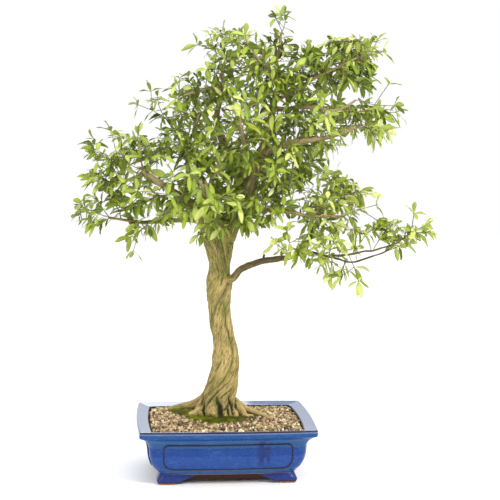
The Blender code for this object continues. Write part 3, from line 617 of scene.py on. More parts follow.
@dataclass(frozen=True)
class Stone:
    """Cream, tan and grey grit, each grain with its own tone by the mark "tone"."""

    tones: tuple = ((0.0, (0.03, 0.02, 0.011)), (0.2, (0.085, 0.052, 0.026)), (0.42, (0.24, 0.16, 0.075)),
                    (0.64, (0.42, 0.3, 0.15)), (0.84, (0.62, 0.49, 0.28)), (1.0, (0.82, 0.75, 0.56)))
    vein: Triple = (0.09, 0.055, 0.028)

    def material(self) -> bpy.types.Material:
        """The finish: tones by the mark, with darker veins.

        Returns:
            The material.
        """
        graph = Graph("beige_gravel")
        place = graph.place()
        colour = graph.ramp(graph.mark("tone"), self.tones)
        vein = graph.noise(place, 900.0, 4.0, 0.65)
        colour = graph.mix(vein.between(0.5, 0.75) * 0.5, colour, self.vein)
        normal = graph.bump(graph.noise(place, 1500.0, 3.0), 0.0004, 0.5)
        return graph.finish(Base_Color=colour, Roughness=0.72 + vein * 0.2, Normal=normal)


@dataclass(frozen=True)
class Earth:
    """Dark crumbly soil."""

    name: str
    dark: Triple
    light: Triple

    def material(self) -> bpy.types.Material:
        """The finish: crumbs from a cell pattern, with light grit.

        Returns:
            The material.
        """
        graph = Graph(self.name)
        place = graph.place()
        crumbs = graph.cells(place, 420.0)
        fine = graph.noise(place, 800.0, 4.0, 0.7)
        colour = graph.mix(fine.between(0.35, 0.7), self.dark, self.light)
        normal = graph.bump(crumbs * 0.7 + fine * 0.3, 0.0022, 0.9)
        return graph.finish(Base_Color=colour, Roughness=0.95, Normal=normal)


@dataclass(frozen=True)
class BlackMesh:
    """Matte black plastic of the drain screens."""

    black: Triple = (0.012, 0.012, 0.013)
    dusty: Triple = (0.06, 0.055, 0.05)

    def material(self) -> bpy.types.Material:
        """The finish: near black with faint dust.

        Returns:
            The material.
        """
        graph = Graph("black_mesh")
        dust = graph.noise(graph.place(), 300.0, 4.0, 0.6)
        colour = graph.mix(dust.between(0.5, 0.8), self.black, self.dusty)
        return graph.finish(Base_Color=colour, Roughness=0.5 + dust * 0.3)


@dataclass(frozen=True)
class MossGreen:
    """Velvety moss, lighter by the mark "tip": paler tips of the moss and painted highlight on the tops of
    its lumps; brown and dry in places.
    """

    greens: tuple = ((0.3, (0.012, 0.012, 0.002)), (0.42, (0.06, 0.07, 0.004)),
                     (0.54, (0.16, 0.185, 0.008)), (0.7, (0.32, 0.33, 0.02)))
    # Paler moss tips, and painted highlight on the lumps' tops.
    tip: Triple = (0.36, 0.38, 0.026)
    dry_dark: Triple = (0.035, 0.025, 0.008)
    dry_light: Triple = (0.15, 0.12, 0.04)

    def material(self) -> bpy.types.Material:
        """The finish: greens by noise, and dry patches that grow towards the right.

        Returns:
            The material.
        """
        graph = Graph("green_moss")
        place = graph.place()
        patches = graph.noise(place, 45.0, 4.0, 0.6)
        fine = graph.noise(place, 700.0, 3.0, 0.7)
        colour = graph.ramp(patches + (fine - 0.5) * 0.5, self.greens)
        # Lighter by the mark tip: painted highlight on the lumps' tops and the fronds' paler tips.
        colour = graph.mix(graph.mark("tip") * 0.5, colour, self.tip)
        aside = (graph.part(place, "X") + (patches - 0.5) * 0.12).between(-0.055, 0.01) * 0.8
        dry = graph.noise(place, 30.0, 3.0).between(0.52, 0.66) * 0.7
        worn = graph.node("ShaderNodeMath", {"operation": "MAXIMUM"}, {0: aside * 1.15, 1: dry})
        colour = graph.mix(worn, colour, graph.mix(fine.between(0.4, 0.6), self.dry_dark, self.dry_light))
        normal = graph.bump(graph.cells(place, 900.0) + fine, 0.0012, 0.8)
        return graph.finish(Base_Color=colour, Roughness=0.9, Specular_IOR_Level=0.15, Normal=normal)


@dataclass(frozen=True)
class Bark:
    """Tan bark with fine fibres along the grain, green algae in its furrows and hollows, and painted shade
    that darkens them.
    """

    name: str = "tan_bark"
    light: Triple = (0.54, 0.4, 0.15)
    tan: Triple = (0.30, 0.215, 0.072)
    dark: Triple = (0.085, 0.056, 0.02)
    algae: Triple = (0.112, 0.122, 0.016)
    # Painted shade: the next colour darkens the furrows and hollows, the one after it the deepest hollows
    # at the trunk's foot.
    hollow_shade: Triple = (0.066, 0.05, 0.014)
    cavity_shade: Triple = (0.022, 0.014, 0.006)
    grey: Triple = (0.42, 0.35, 0.22)
    crown_grey: float = 0.4
    limb: Triple = (0.42, 0.38, 0.46)
    green: float = 0.75

    def material(self) -> bpy.types.Material:
        """The finish: noise on the mark "grain", which is in millimetres, and on the place.

        Returns:
            The material, darker by the mark "furrow" as painted shade and tinted by the mark "limb", both
            from 0 to 1.
        """
        graph = Graph(self.name)
        grain = graph.mark("grain", "Vector")
        place = graph.place()
        strands = graph.noise(grain, 0.26, 3.0, 0.65, 0.5)
        streaks = graph.noise(grain, 0.55, 5.0, 0.75, 0.4)
        fibres = graph.noise(grain, 1.5, 4.0, 0.75, 0.3)
        patches = graph.noise(place, 26.0, 4.0, 0.6)
        furrow = graph.mark("furrow")
        level = (streaks - 0.5) * 1.7 + (fibres - 0.5) * 1.5 + (strands - 0.5) * 0.9 + 0.505
        colour = graph.ramp(level, [(0.2, self.dark), (0.4, self.tan), (0.57, self.light),
                                    (0.85, shaded(self.light, 1.25))])
        # Painted shade in the furrows and hollows.
        colour = graph.mix((furrow + (fibres - 0.5) * 1.2).between(0.15, 0.95) * 0.8, colour, self.hollow_shade)
        height = graph.height()
        high = height.between(0.22, 0.40) * height.between(0.50, 0.44) * 0.36
        green = (furrow * 0.3 + (patches - 0.5) * 1.7 + (streaks - 0.5) * 1.6 + high).between(0.0, 0.5)
        algae = graph.ramp(level, [(0.28, shaded(self.algae, 0.35)), (0.47, self.algae),
                                   (0.7, shaded(self.algae, 2.4))])
        colour = graph.mix(green * self.green, colour, algae)
        # Painted shade: near black in the deepest hollows of the trunk's foot.
        cavity_shade = (furrow + (patches - 0.5) * 1.4 + (fibres - 0.5) * 0.8).between(0.6, 1.0)
        colour = graph.mix(cavity_shade * height.between(0.142, 0.118) * 0.85, colour, self.cavity_shade)
        colour = graph.mix(height.between(0.43, 0.50) * self.crown_grey, colour, self.grey)
        colour = graph.mix(graph.mark("limb"), colour, graph.tinted(colour, self.limb))
        normal = graph.bump(streaks * 0.5 + fibres * 0.5, 0.0028, 1.0)
        return graph.finish(Base_Color=colour, Roughness=0.78 + patches * 0.15, Normal=normal)


@dataclass(frozen=True)
class Leafage:
    """Satin leaves: dark green to yellow green by the mark "tone", which holds painted light too, a pale
    midrib and side veins, and painted shade at the edges.
    """

    greens: tuple = ((0.0, (0.024, 0.046, 0.001)), (0.22, (0.086, 0.145, 0.003)),
                     (0.45, (0.25, 0.332, 0.022)), (0.7, (0.43, 0.505, 0.085)),
                     (0.88, (0.59, 0.625, 0.21)), (1.0, (0.74, 0.72, 0.4)))
    # Painted shade: a tint that darkens each blade towards its edges.
    edge: Triple = (0.32, 0.42, 0.5)
    vein: Triple = (0.5, 0.53, 0.09)
    under: Triple = (0.26, 0.33, 0.07)

    def material(self) -> bpy.types.Material:
        """The finish. The veins come from the blade's own map, from 0 to 1 across it and along it.

        Returns:
            The material.
        """
        graph = Graph("green_leaf")
        blade = graph.node("ShaderNodeUVMap", {"uv_map": "blade"})
        aside = (graph.part(blade, "X") - 0.5).magnitude() * 2.0
        midrib = aside.between(0.16, 0.02)
        wave = (graph.part(blade, "Y") - aside * 0.12) * 56.0
        side = graph.node("ShaderNodeMath", {"operation": "SINE"}, {0: wave}).between(0.72, 1.0)
        blotch = graph.noise(graph.place(), 120.0, 3.0)
        # The mark tone holds painted light: leaves in lit masses come out lighter.
        tone = graph.mark("tone") + (blotch - 0.5) * 0.25
        colour = graph.ramp(tone, self.greens)
        # Painted shade towards the blade's edges.
        colour = graph.mix(aside.between(0.55, 1.0) * 0.55, colour, graph.tinted(colour, self.edge))
        colour = graph.mix(side * 0.12 + midrib * 0.4, colour, self.vein)
        under = graph.mark("under")
        colour = graph.mix(under * 0.35, colour, self.under)
        normal = graph.bump(side * 0.5 + midrib, 0.0003, 0.5)
        return graph.finish(Base_Color=colour, Roughness=0.34 + under * 0.25, Specular_IOR_Level=0.26,
                            Subsurface_Weight=0.12, Subsurface_Radius=(0.002, 0.003, 0.0008), Normal=normal)


# The pot


@dataclass
class Pot:
    """Oblong pot: a flared rim on bowed walls, a raised panel frame on each side and four bracket feet.

    A level is an inset from the rim's outline, a height and a corner radius. The outer wall's levels run
    up, the top's run over the rim, and the inner wall's run down to the floor.
    """

    length: float = 300.0
    depth: float = 230.0
    bow: float = 4.0
    outer: tuple = ((34, 17, 14), (31.5, 20.2, 14), (29.5, 23.5, 14), (26.4, 27.4, 13.5), (24, 31, 13),
                    (21.3, 37, 12.5), (19.2, 43.5, 12), (18, 49, 12), (17.2, 55, 12), (16.6, 64, 12),
                    (15.4, 69.5, 11.5), (13.4, 74.5, 11), (10.9, 78.3, 10), (7.5, 82, 9), (4.2, 84.6, 8),
                    (1.2, 86.3, 7), (0.2, 87.6, 6), (0, 89, 6), (0, 93, 6), (0.1, 96, 6))
    top: tuple = ((0.5, 97.4, 5.6), (1.5, 98.3, 5), (2.9, 98.5, 4.6), (4.5, 98, 4.3), (12, 96.2, 4),
                  (19, 94.5, 4), (20.4, 93.9, 4), (21.3, 92.8, 4))
    inner: tuple = ((22, 90, 4), (22.5, 78, 5), (25, 64, 7), (26.5, 45, 8), (32, 32, 9), (40, 25, 9))
    # Levels of a dark ring under the base that stands for the shadow between the feet: inset, height and
    # corner radius.
    shadow_rail_levels: tuple = ((48, 17.6, 8), (47, 12, 8), (47.5, 5, 8), (50, 3.6, 8), (54, 5, 8), (55, 12, 8),
                         (54, 17.6, 8))
    corner_steps: int = 12
    side_steps: int = 30
    panel_low: float = 28.0
    panel_high: float = 72.6
    panel_margin: float = 41.0
    panel_top_radius: float = 9.0
    panel_low_radius: float = 17.0
    bead: float = 1.15
    bead_stands_out: float = 0.35
    foot_thick: float = 15.0
    drain_radius: float = 11.0
    drain_x: float = 62.0

    def outline(self, inset: np.ndarray, radius: np.ndarray) -> np.ndarray:
        """Rounded oblongs: four quarter circles joined by sides that bulge by bow * (1 - share^2).

        Args:
            inset: Inset from the rim's outline, one for each level.
            radius: Corner radius of each level.

        Returns:
            X and Y for each level and step.
        """
        half_x = self.length / 2 - inset[:, None]
        half_y = self.depth / 2 - inset[:, None]
        radius = radius[:, None]
        parts = []
        for corner in range(4):
            sign_x = 1 if corner in (0, 3) else -1
            sign_y = 1 if corner in (0, 1) else -1
            angle = corner * math.pi / 2 + np.linspace(0, math.pi / 2, self.corner_steps)[None, :]
            parts.append(np.stack([sign_x * (half_x - radius) + radius * np.cos(angle),
                                   sign_y * (half_y - radius) + radius * np.sin(angle)], axis=-1))
            share = 1 - 2 * np.arange(1, self.side_steps + 1)[None, :] / (self.side_steps + 1)
            bulge = self.bow * (1 - share * share)
            if corner % 2 == 0:
                parts.append(np.stack([sign_x * (half_x - radius) * share,
                                       sign_y * (half_y + bulge) * np.ones_like(half_x)], axis=-1))
            else:
                parts.append(np.stack([sign_x * (half_x + bulge) * np.ones_like(half_y),
                                       sign_y * (half_y - radius) * share], axis=-1))
        return np.concatenate(parts, axis=1)

    def profile(self) -> np.ndarray:
        """Read the shell's levels about every 0.9 mm on the rim and every 2.2 mm below it.

        Returns:
            Rows of inset, height and corner radius.
        """
        knots = np.array(self.outer + self.top + self.inner, dtype=float)
        reach = walked(np.column_stack([knots[:, :2], np.zeros(len(knots))]))
        step = np.where(knots[1:, 1] > 88, 0.9, 2.2)
        count = np.maximum(1, np.ceil(np.diff(reach) / step).astype(int))
        share = np.concatenate([np.arange(n) / n for n in count])
        between = reach[:-1].repeat(count) + share * np.diff(reach).repeat(count)
        places = np.append(between, reach[-1])
        return np.column_stack([np.interp(places, reach, knots[:, part]) for part in range(3)])

    def rings(self, levels: np.ndarray) -> np.ndarray:
        """The outline at each level, as rings of points in X, Y and Z."""
        flat = self.outline(levels[:, 0], levels[:, 2])
        height = np.broadcast_to(levels[:, 1][:, None, None], (*flat.shape[:2], 1))
        return np.concatenate([flat, height], axis=-1)

    def shell(self) -> Skin:
        """Wall, rim and floor in one skin.

        Returns:
            A skin with the marks "thin", high on the rim's edges and foot, and "bare".
        """
        levels = self.profile()
        inset, height = levels[:, 0], levels[:, 1]
        inside = np.arange(len(levels)) > np.argmax(height)
        lip = np.exp(-((height - 96.7) / 1.3) ** 4) * ~inside
        inner_lip = np.exp(-((inset - 20.8) / 0.9) ** 2) * inside * (height > 91)
        foot = np.exp(-((height - 86.8) / 0.8) ** 2) * ~inside
        thin = np.clip(0.95 * lip + inner_lip + 0.35 * foot, 0, 1)
        thin = np.where(inside & (height < 91.5), 1.0, thin)
        bare = np.where(~inside & (height < 18.0), 1.0, 0.0)
        rings = self.rings(levels)
        spread = {name: np.broadcast_to(mark[:, None], rings.shape[:2]).copy()
                  for name, mark in (("thin", thin), ("bare", bare))}
        return loft(rings, spread)

    def wall(self, along: np.ndarray, height: np.ndarray, lengthwise: bool, side: int) -> np.ndarray:
        """Points just outside the outer wall of one side.

        Args:
            along: Places along it, from its middle.
            height: Their heights.
            lengthwise: Whether it is a long side.
            side: 1 for the back or right side, -1 for the other.

        Returns:
            Rows of X, Y and Z.
        """
        knots = np.array(self.outer, dtype=float)
        inset = np.interp(height, knots[:, 1], knots[:, 0])
        half = (self.length if lengthwise else self.depth) / 2
        share = along / (half - inset)
        bulge = self.bow * (1 - share * share)
        across = (self.depth if lengthwise else self.length) / 2 - inset + bulge + self.bead_stands_out
        parts = (along, side * across) if lengthwise else (side * across, along)
        return np.column_stack([*parts, height])

    def frame_bead(self, lengthwise: bool, side: int) -> Skin:
        """The panel's frame on one side: a thin roll that follows a rounded oblong on the wall.

        Args:
            lengthwise: Whether it is a long side.
            side: 1 for the back or right side, -1 for the other.

        Returns:
            A closed skin with the mark "thin", highest where the roll stands out most.
        """
        half = (self.length if lengthwise else self.depth) / 2 - self.panel_margin
        top = (1, self.panel_top_radius, self.panel_high)
        low = (-1, self.panel_low_radius, self.panel_low)
        runs = []
        corners = ((1, top), (-1, top), (-1, low), (1, low))
        for number, (sign_u, (sign_v, radius, level)) in enumerate(corners):
            angle = (number + np.linspace(0, 1, 13)) * math.pi / 2
            runs.append(np.column_stack([sign_u * (half - radius) + radius * np.cos(angle),
                                         level - sign_v * radius + radius * np.sin(angle)]))
        oblong = np.concatenate(runs + [runs[0][:1]])
        reach = walked(np.column_stack([oblong, np.zeros(len(oblong))]))
        places = np.linspace(0, reach[-1], 241)[:-1]
        along, height = (np.interp(places, reach, oblong[:, part]) for part in range(2))
        centre = self.wall(along, height, lengthwise, side)
        tangent = unit(np.roll(centre, -1, axis=0) - np.roll(centre, 1, axis=0))
        out = np.array([0.0, side, 0.0]) if lengthwise else np.array([side, 0.0, 0.0])
        wide = unit(np.cross(tangent, out))
        angle = angles(10)[None, :, None]
        ring = (centre[:, None, :] + self.bead * np.cos(angle) * wide[:, None, :]
                + self.bead * np.sin(angle) * np.cross(wide, tangent)[:, None, :])
        rise = (ring - centre[:, None, :]) @ out / self.bead
        thin = np.clip(0.1 + 0.8 * rise, 0, 1)
        return Skin(ring.reshape(-1, 3), [strip_faces(*ring.shape[:2], True)], {"thin": thin.ravel()})

    def foot(self, sign_x: int, sign_y: int) -> Skin:
        """One bracket foot: two arms round a corner, whose lower edge sweeps up to the pot's base.

        Args:
            sign_x: 1 for a foot on the right, -1 on the left.
            sign_y: 1 for a foot at the back, -1 at the front.

        Returns:
            A closed skin. Each level has a height, an inset and the lengths of the long and the short arm.
        """
        levels = np.array([(0, 33.0, 29.4, 25.4), (0.5, 32.6, 30, 26), (2.5, 31.4, 33, 28),
                           (6, 30, 43, 34), (10.5, 31.5, 55, 41), (14.5, 33.3, 63, 45),
                           (17.2, 34.4, 67, 47), (19.5, 37, 64, 45)])
        heights, inset, long_arm, short_arm = smooth_route(levels, 22).T
        heights = np.clip(heights, 0, levels[-1, 0])
        x, y = self.length / 2 - inset, self.depth / 2 - inset
        thick = self.foot_thick
        plan = np.stack([np.stack(pair, axis=-1) for pair in (
            (x, y), (x - long_arm / 2, y), (x - long_arm, y), (x - long_arm, y - thick),
            (x - long_arm / 2, y - thick), (x - thick, y - thick), (x - thick, y - short_arm),
            (x, y - short_arm), (x, y - short_arm / 2))], axis=1)
        for _ in range(3):
            after = np.roll(plan, -1, axis=1)
            plan = np.stack([0.78 * plan + 0.22 * after, 0.22 * plan + 0.78 * after], axis=2).reshape(
                len(plan), -1, 2)
        level = np.broadcast_to(heights[:, None, None], (*plan.shape[:2], 1))
        rings = np.concatenate([plan * (sign_x, sign_y), level], axis=-1)
        if sign_x * sign_y < 0:
            rings = rings[:, ::-1]
        bare = np.broadcast_to(np.clip(1.7 - heights / 2.6, 0, 1)[:, None], rings.shape[:2])
        thin = np.broadcast_to(np.exp(-((heights - 3.6) / 1.4) ** 2)[:, None], rings.shape[:2])
        return loft(rings, {"bare": bare.copy(), "thin": thin.copy()})

    def shadow_rail(self) -> Skin:
        """A low ring under the base, set back behind the feet and guessed from a dark band there: coloured
        as clay in shadow, it is painted shadow between the feet.

        Returns:
            A closed skin with the marks "thin" and "bare" at 1, which give it the painted shade colour.
        """
        rings = self.rings(np.array(self.shadow_rail_levels))
        full = np.ones(rings[..., 0].size)
        faces = strip_faces(*rings.shape[:2], True)
        return Skin(rings.reshape(-1, 3), [faces], {"thin": full, "bare": full})

    def build(self) -> None:
        """The pot as one piece, with its two drain holes cut."""
        parts = [self.shell(), self.shadow_rail()]
        parts += [self.frame_bead(lengthwise, side) for lengthwise in (True, False) for side in (1, -1)]
        parts += [self.foot(sign_x, sign_y) for sign_x in (1, -1) for sign_y in (1, -1)]
        mesh = Skin.joined(parts).mesh("pot_glazed")
        turn_outwards(mesh)
        mesh = self.drained(mesh)
        add_piece("pot_glazed", mesh, BlueGlaze().material(), ["pot"])

    def drained(self, mesh: bpy.types.Mesh) -> bpy.types.Mesh:
        """Cut a round hole through the floor at each screen.

        Args:
            mesh: The pot's mesh.

        Returns:
            The mesh with its holes.
        """
        angle = angles(48)
        drills = []
        for side in (-1, 1):
            ring = np.column_stack([side * self.drain_x + self.drain_radius * np.cos(angle),
                                    self.drain_radius * np.sin(angle), np.zeros(len(angle))])
            drills.append(loft(np.stack([ring + UP * 10.0, ring + UP * 40.0])))
        drill = add_object("drill", Skin.joined(drills).mesh("drill"))
        target = add_object("undrained", mesh)
        cut = target.modifiers.new("cut", "BOOLEAN")
        cut.operation = "DIFFERENCE"
        cut.object = drill
        cut.solver = "FAST"
        return baked_mesh(target, drill)


def turn_outwards(mesh: bpy.types.Mesh) -> None:
    """Recalculate a mesh's normals so that its faces point out.

    Args:
        mesh: The mesh, changed in place.
    """
    shape = bmesh.new()
    shape.from_mesh(mesh)
    bmesh.ops.recalc_face_normals(shape, faces=shape.faces)
    shape.to_mesh(mesh)
    shape.free()


# What fills the pot

# Trunk: height, middle in X, half width in X and half width in Y, bottom to top, as in the CAD
TRUNK_Y = 30.0
TRUNK = np.array([
    (62, -10, 28, 28), (90, -10, 40, 40), (94.3, -10, 40, 40), (106, -11, 38, 37), (125, -9, 32.5, 32),
    (142, -5, 29.5, 29), (162, 0, 27.5, 27), (186, 4, 25.5, 25), (210, 3, 23, 23), (231, 0, 21, 21),
    (255, -4.5, 20.5, 20), (274, -7, 19, 20), (294, -8, 20.5, 20), (318, -8, 23, 20), (334, -8, 23.5, 20),
    (353, -8, 18, 18), (365, -8.5, 18, 18), (389, -9.5, 23, 20), (410, -10.5, 29, 21), (428, -11, 33, 22),
    (442, -9, 26, 18)], dtype=float)

# Moss: outline of the mound on the gravel, walked round
MOSS_OUTLINE = [(-108, 84), (-104, 48), (-84, 6), (-56, -40), (-12, -58), (34, -46), (70, -14), (74, 22),
                (52, 44), (10, 20), (-40, 30), (-66, 84)]


def moss_edge(count: int) -> np.ndarray:
    """Points at even steps round the moss's outline."""
    return smooth_route(MOSS_OUTLINE + MOSS_OUTLINE[:1], count + 1)[:-1]


def inside_outline(points: np.ndarray, outline: np.ndarray) -> np.ndarray:
    """Which points lie inside a closed outline. Their ray to the right crosses its sides an odd number of
    times.

    Args:
        points: Rows of X and Y.
        outline: The outline's corners as rows of X and Y.

    Returns:
        True for each point inside.
    """
    start, end = outline, np.roll(outline, -1, axis=0)
    x, y = points[:, 0:1], points[:, 1:2]
    spans = (start[None, :, 1] > y) != (end[None, :, 1] > y)
    rise = np.where(end[:, 1] == start[:, 1], 1e-9, end[:, 1] - start[:, 1])
    cross = start[None, :, 0] + (y - start[None, :, 1]) * ((end - start)[:, 0] / rise)[None, :]
    return (spans & (x < cross)).sum(axis=1) % 2 == 1


@dataclass
class TopDressing:
    """Loose grit on a dark bed that rises from the pot's wall to a level middle."""

    half_x: float = 127.6
    half_y: float = 92.6
    bow: float = 4.0
    foot_height: float = 84.4
    edge_height: float = 88.2
    middle_height: float = 93.0
    slope: float = 24.0
    under_grains: float = 1.2
    pitch: float = 4.05
    wall_margin: float = 2.2
    trunk_clear: float = 36.0
    layer_share: tuple[float, float] = (0.98, 0.55)
    layer_lift: tuple[float, float] = (0.2, 2.3)
    seed: int = 5

    def height(self, points: np.ndarray) -> np.ndarray:
        """The bed's height: it rises by s (2 - s) over the slope's width in from the wall.

        Args:
            points: Places, the last axis starting with X and Y.

        Returns:
            One height for each place.
        """
        x, y = points[..., 0], points[..., 1]
        gap = np.minimum(self.half_x - np.abs(x), self.half_y - np.abs(y))
        share = np.clip(gap / self.slope, 0, 1)
        lumps = fractal_noise(np.stack([x / 19, y / 19, 0 * x], axis=-1), 71)
        rise = self.middle_height - self.edge_height
        return self.edge_height + rise * share * (2 - share) + 0.9 * lumps

    def bed(self) -> Skin:
        """The dark bed: a grid over the pot's opening, closed below, with small crumbs on it.

        Returns:
            A closed skin.
        """
        grid_u, grid_v = np.meshgrid(np.linspace(-1, 1, 150), np.linspace(-1, 1, 110))
        x = grid_u * (self.half_x - 0.6 + self.bow * (1 - grid_v ** 2))
        y = grid_v * (self.half_y - 0.6 + self.bow * (1 - grid_u ** 2))
        top = np.stack([x, y, np.zeros_like(x)], axis=-1)
        top[..., 2] = self.height(top) - self.under_grains + 0.7 * value_noise(top / 2.6, 12)
        low = top.copy()
        low[..., 2] = self.foot_height
        step = x.size
        index = np.arange(step).reshape(x.shape)
        quads = grid_faces(*x.shape)
        rim = np.concatenate([index[0, :-1], index[:-1, -1], index[-1, :0:-1], index[:0:-1, 0]])
        after = np.roll(rim, -1)
        walls = np.stack([rim + step, after + step, after, rim], axis=-1)
        return Skin(np.concatenate([top.reshape(-1, 3), low.reshape(-1, 3)]),
                    [quads, quads[:, ::-1] + step, walls])

    def seats(self, rng: np.random.Generator) -> np.ndarray:
        """Where grains lie: a jittered three-cornered lattice in two layers.

        Args:
            rng: Draws the jitter and the gaps.

        Returns:
            Places inside the pot's wall, off the moss's middle and off the trunk.
        """
        outline = moss_edge(59)
        centre = outline.mean(axis=0)
        kept = []
        for layer in range(2):
            x, y = np.meshgrid(np.arange(-134, 134, self.pitch), np.arange(-98, 98, self.pitch * 0.87))
            x = x + (np.arange(x.shape[0]) % 2)[:, None] * self.pitch / 2
            flat = np.column_stack([x.ravel(), y.ravel()]) + rng.uniform(-1.5, 1.5, (x.size, 2))
            half = np.array([self.half_x, self.half_y])
            bulge = self.bow * (1 - (flat[:, ::-1] / half[::-1]) ** 2)
            fits = (np.abs(flat) < half - self.wall_margin + bulge).all(axis=1)
            ragged = flat + rng.normal(0, 3.6, flat.shape)
            covered = inside_outline(ragged, centre + (outline - centre) * (0.83 + 0.04 * layer))
            near_trunk = np.hypot(flat[:, 0] - TRUNK[0, 1], flat[:, 1] - TRUNK_Y) < self.trunk_clear
            keep = fits & ~covered & ~near_trunk & (rng.random(len(flat)) < self.layer_share[layer])
            flat = flat[keep]
            lift = self.layer_lift[layer] + rng.uniform(-0.5, 0.6, len(flat))
            kept.append(np.column_stack([flat, self.height(flat) + lift]))
        return np.concatenate(kept)

    def grains(self, seats: np.ndarray, rng: np.random.Generator) -> Skin:
        """A grain on each seat: a ball p of 24 four-sided faces, squared off by sign(p) |p|^k, dented by
        noise, stretched by three half widths and turned at random.

        Args:
            seats: The grains' places.
            rng: Draws shapes, sizes, turns and tones.

        Returns:
            All the grains as one skin with the mark "tone".
        """
        ball, quads = cube_ball(3)
        count = len(seats)
        power = rng.uniform(0.55, 1.0, (count, 1, 1))
        shape = np.sign(ball) * np.abs(ball)[None] ** power
        dents = value_noise(ball[None] * 1.3 + rng.uniform(0, 900, (count, 1, 3)), 3)
        shape = shape * (1 + 0.28 * dents)[..., None]
        size = rng.gamma(9.0, 1 / 9.0, (count, 1, 1)) * 2.5
        shape = shape * np.clip(size, 1.2, 3.9) * rng.uniform(0.6, 1.12, (count, 1, 3)) * (1, 1, 0.8)
        turn, _ = np.linalg.qr(rng.normal(size=(count, 3, 3)))
        turn = turn * np.sign(np.linalg.det(turn))[:, None, None]
        flat = np.einsum("nij,nkj->nki", turn, shape)
        tone = np.clip(rng.beta(1.7, 1.6, count) + rng.normal(0, 0.06, count), 0, 1)
        faces = repeated(quads, count, len(ball))
        return Skin((flat + seats[:, None, :]).reshape(-1, 3), [faces], {"tone": tone.repeat(len(ball))})

    def build(self) -> None:
        """The bed, which stands for the CAD's gravel, and the grains on it in two pieces."""
        rng = np.random.default_rng(self.seed)
        earth = Earth("gravel_bed_earth", dark=(0.03, 0.02, 0.013), light=(0.16, 0.11, 0.07))
        add_piece("gravel_bed", self.bed().mesh("gravel_bed"), earth.material(), ["gravel"])
        seats = self.seats(rng)
        finish = Stone().material()
        front = seats[:, 1] < -30
        for name, part in (("grit_front", seats[front]), ("grit_back", seats[~front])):
            add_piece(name, self.grains(part, rng).mesh(name, smooth=False), finish)


def cube_ball(steps: int) -> tuple[np.ndarray, np.ndarray]:
    """A ball made of a cube's surface grid, each point scaled to length 1.

    Args:
        steps: Points along each edge of the cube.

    Returns:
        Its points and its quads, facing out.
    """
    line = np.linspace(-1, 1, steps)
    points, quads = [], []
    for axis in range(3):
        for sign in (-1, 1):
            u, v = np.meshgrid(line, line)
            face = np.stack([np.full_like(u, sign), u, v], axis=-1)
            face = np.roll(face, axis, axis=-1)
            square = grid_faces(steps, steps)
            quads.append((square if sign > 0 else square[:, ::-1]) + len(points) * steps * steps)
            points.append(face.reshape(-1, 3))
    merged, index = np.unique(np.round(np.concatenate(points), 6), axis=0, return_inverse=True)
    return unit(merged), index.ravel()[np.concatenate(quads)]


@dataclass
class MossMound:
    """A low mound of moss over the roots' feet, with little fronds that stand out of it."""

    base: float = 92.4
    rise: float = 5.4
    sides: int = 180
    frond_count: int = 9000
    seed: int = 11

    def surface(self) -> Skin:
        """The cushion: rings that shrink to the middle, height = (rise + lumps of noise) * (1 - r^6).

        Returns:
            A closed skin with the mark "tip" from its lumps, which lightens their tops as painted
            highlight.
        """
        walk = moss_edge(self.sides)
        centre = np.array([-20.0, -6.0])
        share = np.linspace(1, 0.02, 70)[:, None, None]
        edge_noise = value_noise(np.column_stack([walk / 5.0, np.zeros(self.sides)]), 2)
        ragged = 1 + 0.035 * edge_noise[None, :, None]
        flat = centre + (walk - centre)[None] * share * ragged
        place = np.concatenate([flat, np.zeros((*flat.shape[:2], 1))], axis=-1)
        lumps = (1.3 * fractal_noise(place / 9.0, 4) + 0.9 * value_noise(place / 3.1, 9)
                 + 0.45 * value_noise(place / 1.4, 8))
        height = self.base + (1 - share[..., 0] ** 6) * (self.rise + lumps)
        return loft(np.concatenate([flat, height[..., None]], axis=-1), {"tip": np.clip(lumps / 2.5, 0, 1)})

    def fronds(self, seats: np.ndarray, rng: np.random.Generator) -> Skin:
        """Fronds: on each seat a thin three-sided spike that leans out at random.

        Args:
            seats: Places on the cushion.
            rng: Draws how they lean and their sizes.

        Returns:
            The spikes with the mark "tip".
        """
        count = len(seats)
        lean = unit(np.column_stack([rng.normal(0, 0.55, (count, 2)), rng.uniform(0.6, 1.2, count)]))
        side = unit(np.cross(lean, rng.normal(size=(count, 3))))
        across = np.cross(lean, side)
        length = rng.uniform(1.4, 3.4, count)[:, None]
        width = rng.uniform(0.28, 0.5, count)[:, None]
        foot = seats - lean * 0.5
        base = [foot + width * (math.cos(turn) * side + math.sin(turn) * across) for turn in angles(3)]
        points = np.stack([*base, foot + lean * length], axis=1)
        faces = repeated(np.array([(0, 2, 1), (0, 1, 3), (1, 2, 3), (2, 0, 3)]), count, 4)
        tips = np.tile([0.1, 0.1, 0.1, 1.0], count) * rng.uniform(0.4, 1.0, count).repeat(4)
        return Skin(points.reshape(-1, 3), [faces], {"tip": tips})

    def build(self) -> None:
        """The cushion and its fronds as one piece."""
        rng = np.random.default_rng(self.seed)
        cushion = self.surface()
        chosen = rng.integers(self.sides, len(cushion.points) - 400, self.frond_count)
        seats = cushion.points[chosen] + rng.normal(0, 0.9, (self.frond_count, 3)) * (1, 1, 0)
        mesh = Skin.joined([cushion, self.fronds(seats, rng)]).mesh("moss_mound")
        turn_outwards(mesh)
        add_piece("moss_mound", mesh, MossGreen().material(), ["moss"])


